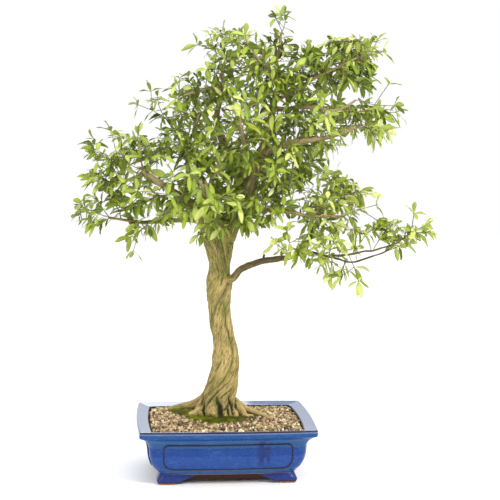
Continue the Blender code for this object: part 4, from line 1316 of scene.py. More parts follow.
# Roots: x, y, z and radius along each, as in the CAD
ROOTS = {
    "ridge": [(-25, 45, 118, 12), (-48, 62, 104, 8), (-72, 72, 98, 5), (-97, 66, 95, 3)],
    "toe": [(-16, 20, 118, 14), (-20, 4, 104, 12), (-24, -8, 97, 7)],
    "hook": [(8, 16, 108, 7), (20, 6, 99, 5), (21, -6, 95.5, 2.6)],
    "heel": [(20, 28, 112, 9), (33, 16, 100, 6.5), (38, 2, 96, 4), (52, -2, 95, 3)],
    "long": [(18, 40, 112, 10), (42, 34, 100, 6), (62, 14, 96.5, 4.4), (77, -8, 95, 3)],
    "left": [(-28, 26, 112, 11), (-45, 16, 100, 7), (-62, 10, 95.5, 4)],
    "rear_left": [(-22, 52, 112, 11), (-34, 66, 100, 7), (-44, 79, 96, 4)],
    "rear": [(-4, 54, 112, 11), (3, 68, 100, 7), (10, 81, 96, 4)],
}

# Limbs: x, y, z and radius along each, as in the CAD
LIMBS = {
    "arm": [(-4, 22, 334, 8), (14, 16, 340, 6.5), (26, 6, 356, 5.6), (42, -10, 366, 5.2), (62, -26, 375, 5),
            (88, -42, 380, 4.8), (114, -50, 386, 4.3), (132, -48, 398, 4), (144, -38, 420, 3.4),
            (158, -22, 455, 2.6)],
    "arm_stub": [(62, -26, 374, 2.6), (64, -29, 386, 2)],
    "shoot_high": [(130, -48, 396, 3), (162, -60, 388, 2.5), (196, -72, 390, 2.2), (226, -80, 396, 2),
                   (256, -88, 403, 1.8), (284, -92, 414, 1.6)],
    "shoot_low": [(160, -60, 388, 2.2), (188, -58, 382, 2), (212, -56, 377, 1.9), (246, -58, 386, 1.7),
                  (276, -64, 398, 1.5)],
    "low_left": [(-30, 26, 430, 7), (-52, 32, 440, 5), (-80, 38, 440, 4.2), (-112, 40, 438, 3.8),
                 (-138, 36, 436, 3.4), (-166, 26, 440, 3), (-200, 10, 446, 2.4)],
    "fork_left": [(-16, 26, 412, 17), (-38, 20, 448, 11.5), (-64, 10, 474, 7.5), (-92, -8, 492, 6),
                  (-122, -24, 512, 5), (-146, -34, 530, 4.2)],
    "fork_right": [(0, 25, 412, 18), (20, 30, 450, 13), (26, 32, 486, 10.5), (25, 40, 520, 9),
                   (16, 46, 548, 7.5), (-4, 50, 580, 6.2), (-14, 48, 615, 5.2), (-10, 38, 646, 4.5),
                   (-5, 28, 674, 4), (-10, 18, 712, 2.8)],
    "right_main": [(18, 26, 446, 12), (36, 16, 492, 10.5), (50, 5, 530, 9.5), (68, -6, 560, 8.2),
                   (96, -18, 574, 6.2), (130, -30, 580, 5), (162, -40, 586, 4.2), (190, -48, 595, 3.4),
                   (216, -50, 606, 2.6)],
    "leader": [(56, 0, 545, 8), (68, 4, 585, 6.6), (76, 10, 616, 5.8), (84, 18, 646, 5), (89, 22, 678, 4.4),
               (86, 21, 710, 3.7), (92, 20, 742, 3), (95, 16, 768, 2.2)],
    "right_high_back": [(70, 6, 592, 5), (104, 30, 606, 4.2), (136, 52, 611, 3.8), (168, 72, 615, 3.4),
                        (202, 90, 620, 3), (236, 104, 630, 2.4)],
    "right_mid_front": [(82, 15, 636, 4.8), (106, 0, 636, 4.2), (126, -20, 640, 3.8), (146, -42, 638, 3.4),
                        (166, -62, 632, 3), (186, -78, 636, 2.6), (206, -88, 650, 2.2)],
    "right_top": [(86, 20, 668, 4), (114, 38, 681, 3.4), (146, 54, 692, 3), (180, 62, 701, 2.7),
                  (212, 62, 712, 2.3)],
    "right_top_front": [(84, 18, 650, 4.2), (116, -4, 668, 3.6), (150, -24, 690, 3), (184, -40, 706, 2.6),
                        (214, -50, 722, 2.2)],
    "top_front": [(88, 21, 690, 3.6), (72, -14, 700, 3), (52, -50, 712, 2.6), (36, -78, 728, 2.2)],
    "top_back": [(86, 20, 700, 3.4), (70, 58, 712, 3), (52, 96, 722, 2.4)],
    "top_left": [(-5, 30, 668, 3.6), (-30, 10, 670, 3), (-55, -10, 661, 2.7), (-76, -28, 656, 2.3)],
    "left_up": [(-70, 6, 478, 6), (-67, 18, 505, 4.4), (-66, 30, 532, 4), (-72, 40, 565, 3.4),
                (-86, 46, 592, 2.8), (-102, 46, 616, 2.3)],
    "left_up_front": [(-68, 33, 546, 3.6), (-64, 10, 576, 2.8), (-55, -10, 605, 2.4), (-50, -26, 626, 2)],
    "right_low": [(12, 24, 440, 8), (46, -4, 456, 5), (76, -28, 464, 4.4), (106, -44, 461, 4),
                  (132, -52, 456, 3.5), (162, -60, 455, 3), (196, -62, 456, 2.4)],
    "right_low_back": [(26, 30, 470, 8), (60, 50, 495, 5), (94, 70, 509, 4.2), (126, 90, 515, 3.4),
                       (160, 110, 516, 2.6)],
    "back_left": [(-28, 30, 438, 8), (-55, 68, 468, 5.4), (-86, 98, 486, 4), (-120, 120, 500, 2.8)],
    "front_centre": [(-10, 16, 424, 9), (-24, -30, 462, 5.6), (-40, -64, 494, 4.2), (-50, -92, 516, 3)],
    "back_centre": [(26, 36, 500, 7), (20, 74, 534, 5), (10, 104, 564, 3.8), (4, 126, 590, 2.8)],
    "front_mid": [(48, 0, 522, 7), (32, -40, 560, 4.8), (20, -70, 590, 3.6), (14, -92, 616, 2.6)],
    "back_right": [(64, 0, 562, 6), (90, 44, 570, 4.2), (120, 84, 571, 3.4), (146, 110, 572, 2.6)],
}


# The tree


def trunk_at(height: np.ndarray, part: int) -> np.ndarray:
    """One column of the trunk's table, read at heights."""
    return np.interp(height, TRUNK[:, 0], TRUNK[:, part])


# Furrows that wind round the trunk: height and bearing in degrees along each, the viewer being at -90,
# then depth and width in millimetres
FURROWS = [
    ([(446, -110), (413, -97), (375, -65), (340, -27), (300, 10), (260, 40), (200, 70), (150, 95),
      (96, 120)], 3.6, 6.5),
    ([(352, -14), (331, -41), (305, -90), (288, -124), (255, -155), (219, -180), (170, -212),
      (96, -262)], 3.4, 6.0),
    ([(312, -74), (288, -63), (236, -60), (205, -50), (191, -61), (175, -78), (158, -97), (132, -137),
      (96, -170)], 3.2, 5.0),
    ([(446, 60), (380, 90), (320, 110), (260, 135), (200, 162), (140, 190), (96, 215)], 3.6, 6.5),
    ([(446, 178), (400, 152), (350, 122), (312, 96), (290, 84)], 3.0, 6.0),
    ([(250, -24), (200, -10), (160, -32), (120, -58), (96, -72)], 3.0, 5.5),
    ([(446, -62), (420, -52), (390, -44), (362, -36)], 2.4, 5.0),
    ([(186, -24), (172, -50), (150, -84), (128, -118), (96, -146)], 2.6, 3.6),
    ([(168, -20), (150, -48), (132, -78), (116, -104), (96, -122)], 2.6, 3.2),
    ([(232, -96), (205, -104), (180, -122), (150, -150), (110, -190)], 2.0, 4.0),
    ([(150, -44), (128, -52), (104, -44), (88, -50)], 6.5, 3.8),
    ([(128, -146), (108, -140), (88, -128)], 8.0, 4.4),
    ([(132, -98), (116, -84), (88, -78)], 10.0, 5.0),
    ([(132, -6), (110, -20), (88, -16)], 8.5, 5.5),
    ([(124, -70), (106, -60), (88, -64)], 4.5, 2.8),
    ([(118, -122), (102, -112), (88, -110)], 4.0, 2.6),
    ([(140, 30), (88, 40)], 7.5, 6.0),
    ([(140, 100), (88, 112)], 7.5, 6.0),
    ([(140, 160), (88, 168)], 7.5, 6.0),
    ([(406, -136), (380, -118), (352, -96), (322, -84)], 2.6, 4.5),
    ([(440, -78), (400, -70), (360, -60), (330, -56)], 2.2, 4.0),
]

# How the trunk's grain twists: height and bearing
FLOW = np.array([(96, -268), (158, -215), (219, -165), (288, -110), (331, -52), (345, -40), (375, -65),
                 (413, -97), (446, -112)], dtype=float)

# How high the trunk's strands stand: height and millimetres
STRANDS = np.array([(90, 0.7), (120, 1.0), (190, 0.6), (240, 0.35), (320, 0.5), (360, 0.8), (446, 1.1)])


@dataclass
class Wood:
    """Trunk, surface roots and limbs. The thick parts are fused into one skin, the thin ones are tubes."""

    voxel: float = 1.42
    ease_steps: int = 7
    thick_radius: float = 4.6
    oval: float = 0.985
    grain_slope: float = 0.14

    def routes(self) -> dict[str, np.ndarray]:
        """Smooth every root's and limb's route.

        Returns:
            By name, rows of x, y, z and radius a few millimetres apart.
        """
        made = {}
        for name, points in {**ROOTS, **LIMBS}.items():
            coarse = smooth_route(points, 12 * len(points))
            made[name] = smooth_route(points, max(8, int(walked(coarse)[-1] / 3.2)))
            if name in ROOTS:
                made[name] = made[name] * (1, 1, 1, 1.12) + (0, 0, 1.2, 0)
        return made

    def trunk_skin(self) -> Skin:
        """The bare trunk: ovals from the table, stacked every 3 mm.

        Returns:
            A closed skin.
        """
        height = np.linspace(TRUNK[0, 0], TRUNK[-1, 0], 130)[:, None]
        angle = angles(72)[None, :]
        x = trunk_at(height, 1) + self.oval * trunk_at(height, 2) * np.cos(angle)
        y = TRUNK_Y + self.oval * trunk_at(height, 3) * np.sin(angle)
        return loft(np.stack([x, y, np.broadcast_to(height, x.shape)], axis=-1))

    def fused(self, routes: dict[str, np.ndarray]) -> Skin:
        """Trunk, roots and the limbs' thick parts, remeshed as one skin and eased where they meet.

        Args:
            routes: The roots' and limbs' routes.

        Returns:
            The skin with the mark "normal".
        """
        parts = [self.trunk_skin()]
        for name, route in routes.items():
            thick = route[:, 3] >= self.thick_radius
            if name in LIMBS:
                if thick.sum() < 6:
                    continue
                route = route[:np.flatnonzero(thick)[-1] + 1].copy()
                ease = np.clip((len(route) - 1 - np.arange(len(route))) / 5.0, 0, 1)
                route[:, 3] *= 0.55 + 0.47 * ease
            parts.append(tube(route, 14))
        raw = add_object("raw_wood", Skin.joined(parts).mesh("raw_wood"))
        turn_outwards(raw.data)
        fuse = raw.modifiers.new("fuse", "REMESH")
        fuse.mode = "VOXEL"
        fuse.voxel_size = self.voxel * MM
        ease = raw.modifiers.new("ease", "SMOOTH")
        ease.factor = 0.5
        ease.iterations = self.ease_steps
        mesh = baked_mesh(raw)
        points = read_rows(mesh.vertices, "co", 3).astype(float) / MM - POT_MIDDLE
        quads = read_rows(mesh.loops, "vertex_index", 1, np.int32).reshape(-1, 4)
        normals = read_rows(mesh.vertex_normals, "vector", 3).astype(float)
        bpy.data.meshes.remove(mesh)
        return Skin(points, [quads], {"normal": normals})

    def carve(self, skin: Skin, routes: dict[str, np.ndarray]) -> Skin:
        """Bark relief: each point moves along its normal by strands and furrows on the trunk, and by ridges
        of noise along the grain everywhere.

        Args:
            skin: The fused skin with its normals.
            routes: The roots' and limbs' routes.

        Returns:
            The carved skin with the marks "grain", "furrow" and "limb". The mark "furrow" holds the depth
            of furrows and hollows, which the bark's finish paints as shade.
        """
        points, normal = skin.points, skin.marks["normal"]
        lines = np.concatenate([
            np.column_stack([route[:, :4], unit(np.gradient(route[:, :3], axis=0)), walked(route)])
            for route in routes.values()])
        squares = (points ** 2).sum(1)[:, None] + (lines[:, :3] ** 2).sum(1)[None, :]
        gap = np.sqrt(np.maximum(squares - 2 * points @ lines[:, :3].T, 0)) - lines[None, :, 3]
        nearest = gap.argmin(axis=1)
        line_gap = gap[np.arange(len(points)), nearest]
        height = points[:, 2]
        x = points[:, 0] - trunk_at(height, 1)
        y = points[:, 1] - TRUNK_Y
        half = (trunk_at(height, 2) + trunk_at(height, 3)) / 2
        trunk_gap = np.hypot(x, y) - half + np.clip(height - 436, 0, None) * 0.6
        bearing = np.degrees(np.arctan2(y, x))
        turn = np.radians(bearing - np.interp(height, FLOW[:, 0], FLOW[:, 1]))
        radius = np.hypot(x, y)
        trunk_grain = np.column_stack([radius * np.cos(turn), radius * np.sin(turn), 0.1 * height])
        near = lines[nearest]
        line_grain = points - near[:, :3] + near[:, 4:7] * (self.grain_slope * near[:, 7])[:, None]
        share = np.clip(0.5 + (line_gap - trunk_gap) / 5.0, 0, 1)
        on_trunk = share > 0.5
        grain = trunk_grain * on_trunk[:, None] + line_grain * ~on_trunk[:, None]
        furrow = self.furrows(height, bearing, half) * share * np.clip((height - 80) / 12, 0, 1)
        strand = np.sin(7 * turn + 2.4 * value_noise(trunk_grain / 22, 63)) * share
        strength = np.interp(height, STRANDS[:, 0], STRANDS[:, 1])
        ridges = 1 - np.abs(fractal_noise(grain / 5.2, 21, 3))
        fine = fractal_noise(grain / 2.2, 33, 2)
        bulk = fractal_noise(points / 17.0, 40, 2)
        thick = np.clip(np.where(on_trunk, half, near[:, 3]) / 16, 0.22, 1)
        relief = thick * (2.0 * (ridges - 0.75) + 1.1 * fine + 1.2 * bulk) - 3.8 * furrow
        relief = relief + strand * strength + 0.4
        carved = Skin(points + normal * relief[:, None], skin.faces)
        # How deep each point lies in a hollow, for the mark furrow, which the bark's finish paints as
        # shade.
        hollow_shade = self.hollows(carved, normal)
        furrow = np.clip(0.55 * furrow + hollow_shade + np.clip(0.55 - ridges, 0, 1) * 0.7, 0, 1)
        limb = (1 - share) * np.clip((near[:, 7] - 12) / 60, 0, 1) * np.clip((height - 300) / 20, 0, 1)
        limb *= np.where(height < 400, 1.6, 0.15)
        carved.marks.update({"grain": grain, "furrow": furrow, "limb": np.clip(limb, 0, 1)})
        return carved

    @staticmethod
    def furrows(height: np.ndarray, bearing: np.ndarray, radius: np.ndarray) -> np.ndarray:
        """How deep the trunk's furrows are at each point: the deepest depth * e^(-|gap / width|^1.6).

        Args:
            height: The points' heights.
            bearing: Their bearings in degrees.
            radius: The trunk's radius at each.

        Returns:
            One number for each point, 1 being 4 mm.
        """
        furrow = np.zeros(len(height))
        for number, (bends, depth, width) in enumerate(FURROWS):
            bends = np.array(bends, dtype=float)[::-1]
            middle = np.interp(height, bends[:, 0], bends[:, 1])
            reach = (np.clip((height - bends[0, 0] + 8) / 22, 0, 1)
                     * np.clip((bends[-1, 0] + 4 - height) / 22, 0, 1))
            line = np.column_stack([height / 26, np.full(len(height), number), 0 * height])
            away = (bearing - middle + 9 * fractal_noise(line, 60) + 180) % 360 - 180
            gap = np.radians(away) * radius / (width * (1 + 0.35 * value_noise(line * 1.7, 61)))
            fresh = 1 + 0.45 * value_noise(line * 1.3 + 50, 62)
            furrow = np.maximum(furrow, depth / 4 * fresh * reach * np.exp(-np.abs(gap) ** 1.6))
        return furrow

    @staticmethod
    def hollows(skin: Skin, normal: np.ndarray) -> np.ndarray:
        """How deep each point lies below its surroundings: the skin is eased over and over by the mean of
        each point's neighbours, and the way that the point rises is taken along its normal.

        Args:
            skin: A skin of quads.
            normal: Its points' normals.

        Returns:
            One number for each point, from 0 to 1, 1 being 1.6 mm.
        """
        quads = skin.faces[0]
        first = quads.T.ravel()
        second = np.roll(quads, -1, axis=1).T.ravel()
        size = len(skin.points)
        count = np.bincount(first, minlength=size) + np.bincount(second, minlength=size)
        eased = skin.points.copy()
        for _ in range(14):
            total = [np.bincount(first, eased[second, axis], size)
                     + np.bincount(second, eased[first, axis], size) for axis in range(3)]
            eased = 0.4 * eased + 0.6 * np.stack(total, axis=-1) / np.maximum(count, 1)[:, None]
        return np.clip(((eased - skin.points) * normal).sum(axis=1) / 1.6, 0, 1)

    def build(self) -> dict[str, np.ndarray]:
        """The fused wood, which stands for the CAD's tree, and the limbs.

        Returns:
            The limbs' routes, for what grows on them.
        """
        routes = self.routes()
        finish = Bark().material()
        body = self.carve(self.fused(routes), routes)
        add_piece("trunk_and_roots", body.mesh("trunk_and_roots"), finish, ["tree"])
        tubes = [self.limb(route, number) for number, (name, route) in enumerate(routes.items())
                 if name in LIMBS]
        add_piece("limbs", Skin.joined(tubes).mesh("limbs"), finish)
        return {name: route for name, route in routes.items() if name in LIMBS}

    def limb(self, route: np.ndarray, number: int) -> Skin:
        """A limb's thin part as a tube with knots and small bends.

        Args:
            route: The limb's rows of x, y, z and radius.
            number: Which noise.

        Returns:
            The tube with the marks "grain", "furrow" and "limb".
        """
        start = int(np.argmax(route[:, 3] < self.thick_radius + 1.2))
        part = route[max(0, start - 6):].copy()
        walk = walked(part)
        one = np.ones(len(part))
        knots = value_noise(np.column_stack([walk / 7.0, one * (number * 3.7), one * 0]), 5)
        part[:, 3] *= (1 + 0.13 * knots) * np.interp(part[:, 3], [2.5, 5.5], [0.84, 1.0])
        bends = [value_noise(np.column_stack([walk / 15.0, one * number, one * axis]), 6)
                 for axis in range(3)]
        part[:, :3] += np.column_stack(bends) * np.clip(walk / 30, 0, 1)[:, None] * 1.1
        skin = tube(part, 14, 0.07, number)
        skin.marks["furrow"] = np.clip(0.2 + 0.4 * value_noise(skin.points / 9.0, 8), 0, 1)
        skin.marks["limb"] = np.full(len(skin.points), 1.0 if part[0, 2] < 400 else 0.25)
        return skin


# Leaves


@dataclass
class Blades:
    """Many leaves, each with its foot, the way it points, its upper side, its size and its tone, which
    holds painted light as well.
    """

    foot: np.ndarray
    axis: np.ndarray
    face: np.ndarray
    length: np.ndarray
    half_width: np.ndarray
    tone: np.ndarray
    droop: np.ndarray
    loose: float = 1.0

    # Share of the length and of the half width at each station
    STATIONS = np.array([(0.0, 0.12), (0.1, 0.2), (0.23, 0.62), (0.42, 0.95), (0.62, 1.0), (0.8, 0.8),
                         (0.93, 0.46), (1.0, 0.1)])

    def skin(self, rng: np.random.Generator) -> Skin:
        """The blades: at each station a left edge, a midrib above, a right edge and a midrib below.

        The midrib is foot + t L axis - curl t^2 L face, then sinks by droop L t^2; the edges stand the half
        width to the side and are folded up by the fold. How loose a blade is scales its curl and twist.

        Args:
            rng: Draws curl, twist, fold and waves for each leaf.

        Returns:
            Closed blades with the marks uv, rim, tone and under.
        """
        count = len(self.foot)
        t = self.STATIONS[:, 0][None, :, None]
        wide = self.STATIONS[:, 1][None, :, None] * self.half_width[:, None, None]
        axis = unit(self.axis)
        side = unit(np.cross(axis, self.face))
        face = np.cross(side, axis)
        length = self.length[:, None, None]
        curl = self.loose * rng.normal(0.1, 0.11, count)[:, None, None]
        droop = self.droop[:, None, None]
        twist = self.loose * rng.normal(0, 0.25, count)[:, None, None] * t
        fold = rng.uniform(0.12, 0.5, count)[:, None, None]
        wave = rng.uniform(0, 6.28, (count, 1, 2)) + t * 9.0
        axis, side, face = axis[:, None], side[:, None], face[:, None]
        across = side * np.cos(twist) + face * np.sin(twist)
        above = face * np.cos(twist) - side * np.sin(twist)
        rib = (self.foot[:, None] + axis * length * t - face * (curl * length * t ** 2)
               - UP * (droop * length * t ** 2))
        half = 0.33 * (1 - 0.6 * t)
        left = rib - across * wide + above * (wide * (fold + 0.22 * np.sin(wave[..., 0:1])))
        right = rib + across * wide + above * (wide * (fold + 0.22 * np.sin(wave[..., 1:2])))
        points = np.stack([left, rib + above * half, right, rib - above * half], axis=2)
        rings = len(self.STATIONS)
        last = 4 * (rings - 1)
        one = np.concatenate([strip_faces(rings, 4), [[3, 2, 1, 0]], last + np.array([[0, 1, 2, 3]])])
        faces = repeated(one, count, 4 * rings)
        blade = np.stack([np.tile([0.0, 0.5, 1.0, 0.5], rings), self.STATIONS[:, 0].repeat(4)], axis=-1)
        marks = {"uv": np.tile(blade, (count, 1)), "rim": np.tile([1.0, 0.0, 1.0, 0.0], rings * count),
                 "under": np.tile([0.4, 0.0, 0.4, 1.0], rings * count),
                 "tone": self.tone.repeat(4 * rings)}
        return Skin(points.reshape(-1, 3), [faces], marks)

    def chosen(self, which: np.ndarray) -> "Blades":
        """The blades that a mask picks."""
        columns = (self.foot, self.axis, self.face, self.length, self.half_width, self.tone, self.droop)
        return Blades(*(column[which] for column in columns), self.loose)


def twigs_skin(paths: np.ndarray, thin: float, thick: np.ndarray, sides: int) -> Skin:
    """Many twigs at once, as tubes that narrow evenly.

    Args:
        paths: The twigs' paths, of shape (twigs, steps, 3).
        thin: The radius at their ends.
        thick: Each twig's radius at its foot.
        sides: Points round each ring.

    Returns:
        The tubes with the marks "grain" and "furrow".
    """
    count, steps = paths.shape[:2]
    tangent = unit(np.gradient(paths, axis=1))
    chord = unit(paths[:, -1] - paths[:, 0])
    helper = np.where(np.abs(chord[:, 2:3]) < 0.8, [[0.0, 0.0, 1.0]], [[1.0, 0.0, 0.0]])[:, None]
    side = unit(np.cross(tangent, helper))
    up = np.cross(tangent, side)
    radius = thick[:, None] + (thin - thick)[:, None] * np.linspace(0, 1, steps)[None, :]
    angle = angles(sides)[:, None]
    spoke = np.cos(angle) * side[:, :, None] + np.sin(angle) * up[:, :, None]
    offset = spoke * radius[..., None, None]
    points = paths[:, :, None] + offset
    reach = np.linalg.norm(paths - paths[:, :1], axis=-1)
    grain = offset + tangent[:, :, None] * (0.2 * reach)[..., None, None] + (paths[:, :1] % 50)[:, :, None]
    caps = np.stack([np.arange(sides)[::-1], np.arange(sides) + (steps - 1) * sides])
    faces = [repeated(group, count, steps * sides) for group in (strip_faces(steps, sides), caps)]
    return Skin(points.reshape(-1, 3), faces,
                {"grain": grain.reshape(-1, 3), "furrow": np.full(points.size // 3, 0.2)})


@dataclass
class Sprays:
    """The CAD's sprays, made again as fine twigs and thin blades on the same nodes and midribs."""

    thin_edge: float = 0.72
    node_edge: float = 2.35
    sag: float = 0.22
    end_radius: float = 0.62
    foot_radius: float = 0.78
    seed: int = 12

    def read(self, name: str, wood: np.ndarray) -> tuple[Blades, np.ndarray]:
        """Find the midribs and twigs of a spray in the CAD's mesh.

        A blade's middle section has two edges as long as the blade is thick. The points next to it are the
        tip's, whose own neighbours are all the blade's, and the node's. What is left falls into nodes.

        Args:
            name: The CAD node.
            wood: Rows of x, y, z and radius along the limbs.

        Returns:
            The blades, and the twigs as an array of twigs, steps and places.
        """
        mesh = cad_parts[name].data
        loose = read_rows(mesh.vertices, "co", 3, float) / MM - POT_MIDDLE
        _, first, index = np.unique(np.round(loose, 2), axis=0, return_index=True, return_inverse=True)
        place = loose[first]
        corners = read_rows(mesh.loops, "vertex_index", 1, np.int32)
        triangle = index.ravel()[corners].reshape(-1, 3)
        touch = np.zeros((len(place), len(place)), dtype=bool)
        touch[triangle[:, [0, 1, 2]], triangle[:, [1, 2, 0]]] = True
        touch |= touch.T
        span = np.linalg.norm(place[:, None] - place[None], axis=-1)
        thin = (touch & (np.abs(span - self.thin_edge) < 0.02)).any(axis=1)
        rings = self.groups(touch & thin[:, None] & thin[None], thin)
        near = (rings @ touch) & ~thin
        tips = np.stack([group & ~((touch & ~(group | ring)).any(axis=1))
                         for group, ring in zip(near, rings)])
        bases = near & ~tips
        blades = self.midribs(place, rings, tips, bases)
        rest = ~(thin | tips.any(axis=0))
        nodes = self.groups(touch & (span < self.node_edge) & rest[:, None] & rest[None], rest)
        centre = nodes @ place / nodes.sum(axis=1)[:, None]
        linked = np.triu(nodes.astype(int) @ touch @ nodes.T.astype(int) > 0, 1)
        start, end = np.nonzero(linked)
        home = (bases.astype(int) @ nodes.T).argmax(axis=1)
        blades.foot += (centre[home] - blades.foot) * 0.55
        reach = np.linalg.norm(centre[:, None] - wood[None, :, :3], axis=-1) - wood[None, :, 3]
        foot, spot = np.unravel_index(reach.argmin(), reach.shape)
        here = np.vstack([centre[start], wood[spot, :3]])[:, None]
        there = np.vstack([centre[end], centre[foot]])[:, None]
        share = np.linspace(0, 1, 6)[None, :, None]
        return blades, here + (there - here) * share

    @staticmethod
    def groups(touch: np.ndarray, member: np.ndarray) -> np.ndarray:
        """Find the connected groups of points.

        Args:
            touch: Which points touch, as a square of flags.
            member: Which points count.

        Returns:
            One mask in each row.
        """
        joined = touch | np.diag(member)
        for _ in range(5):
            joined = (joined.astype(int) @ joined) > 0
        return np.unique(joined[member], axis=0)

    def midribs(self, place: np.ndarray, rings: np.ndarray, tips: np.ndarray, bases: np.ndarray) -> Blades:
        """Blades through the middles of each base, ring and tip: the way they sag gives their length.

        Args:
            place: The CAD mesh's points.
            rings: For each blade, a mask of its middle section.
            tips: For each blade, a mask of its tip.
            bases: For each blade, a mask of the node that it grows from.

        Returns:
            The blades.
        """
        base, middle, tip = (mask @ place / mask.sum(axis=1)[:, None] for mask in (bases, rings, tips))
        length = -((tip - base) - 2 * (middle - base))[:, 2] / (self.sag / 2)
        axis = (tip - base) / length[:, None] + UP * self.sag
        corner = np.stack([place[ring] for ring in rings])
        apart = np.linalg.norm(corner - corner[:, :1], axis=-1)
        rank = apart.argsort(axis=1)
        row = np.arange(len(rings))
        side = corner[row, rank[:, 2]] - corner[:, 0]
        face = np.cross(unit(side), unit(axis))
        face *= np.where((face @ UP)[:, None] < 0, -1, 1)
        count = len(rings)
        return Blades(base, axis, face, length, np.linalg.norm(side, axis=1) / 2, np.zeros(count),
                      np.full(count, self.sag), 0.25)

    def build(self, wood: np.ndarray, finish: bpy.types.Material, bark: bpy.types.Material) -> np.ndarray:
        """A piece for each spray, which stands for its CAD node.

        Args:
            wood: Rows of x, y, z and radius along the limbs.
            finish: The leaves' finish.
            bark: The twigs' finish.

        Returns:
            A point near the middle of each twig.
        """
        rng = np.random.default_rng(self.seed)
        middles = []
        for name in sorted(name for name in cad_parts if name.startswith("spray_")):
            blades, twigs = self.read(name, wood)
            blades.tone = leaf_tone_and_light(blades.foot, rng)
            stems = twigs_skin(twigs, self.end_radius, np.full(len(twigs), self.foot_radius), 6)
            parts = [blades.skin(rng), stems]
            counts = [sum(len(group) for group in part.faces) for part in parts]
            mesh = Skin.joined(parts).mesh(name + "_leaves")
            piece = add_piece(name + "_leaves", mesh, finish, [name])
            piece.data.materials.append(bark)
            piece.data.polygons.foreach_set("material_index", np.repeat([0, 1], counts))
            middles.append(twigs[:, 3])
        return np.concatenate(middles)


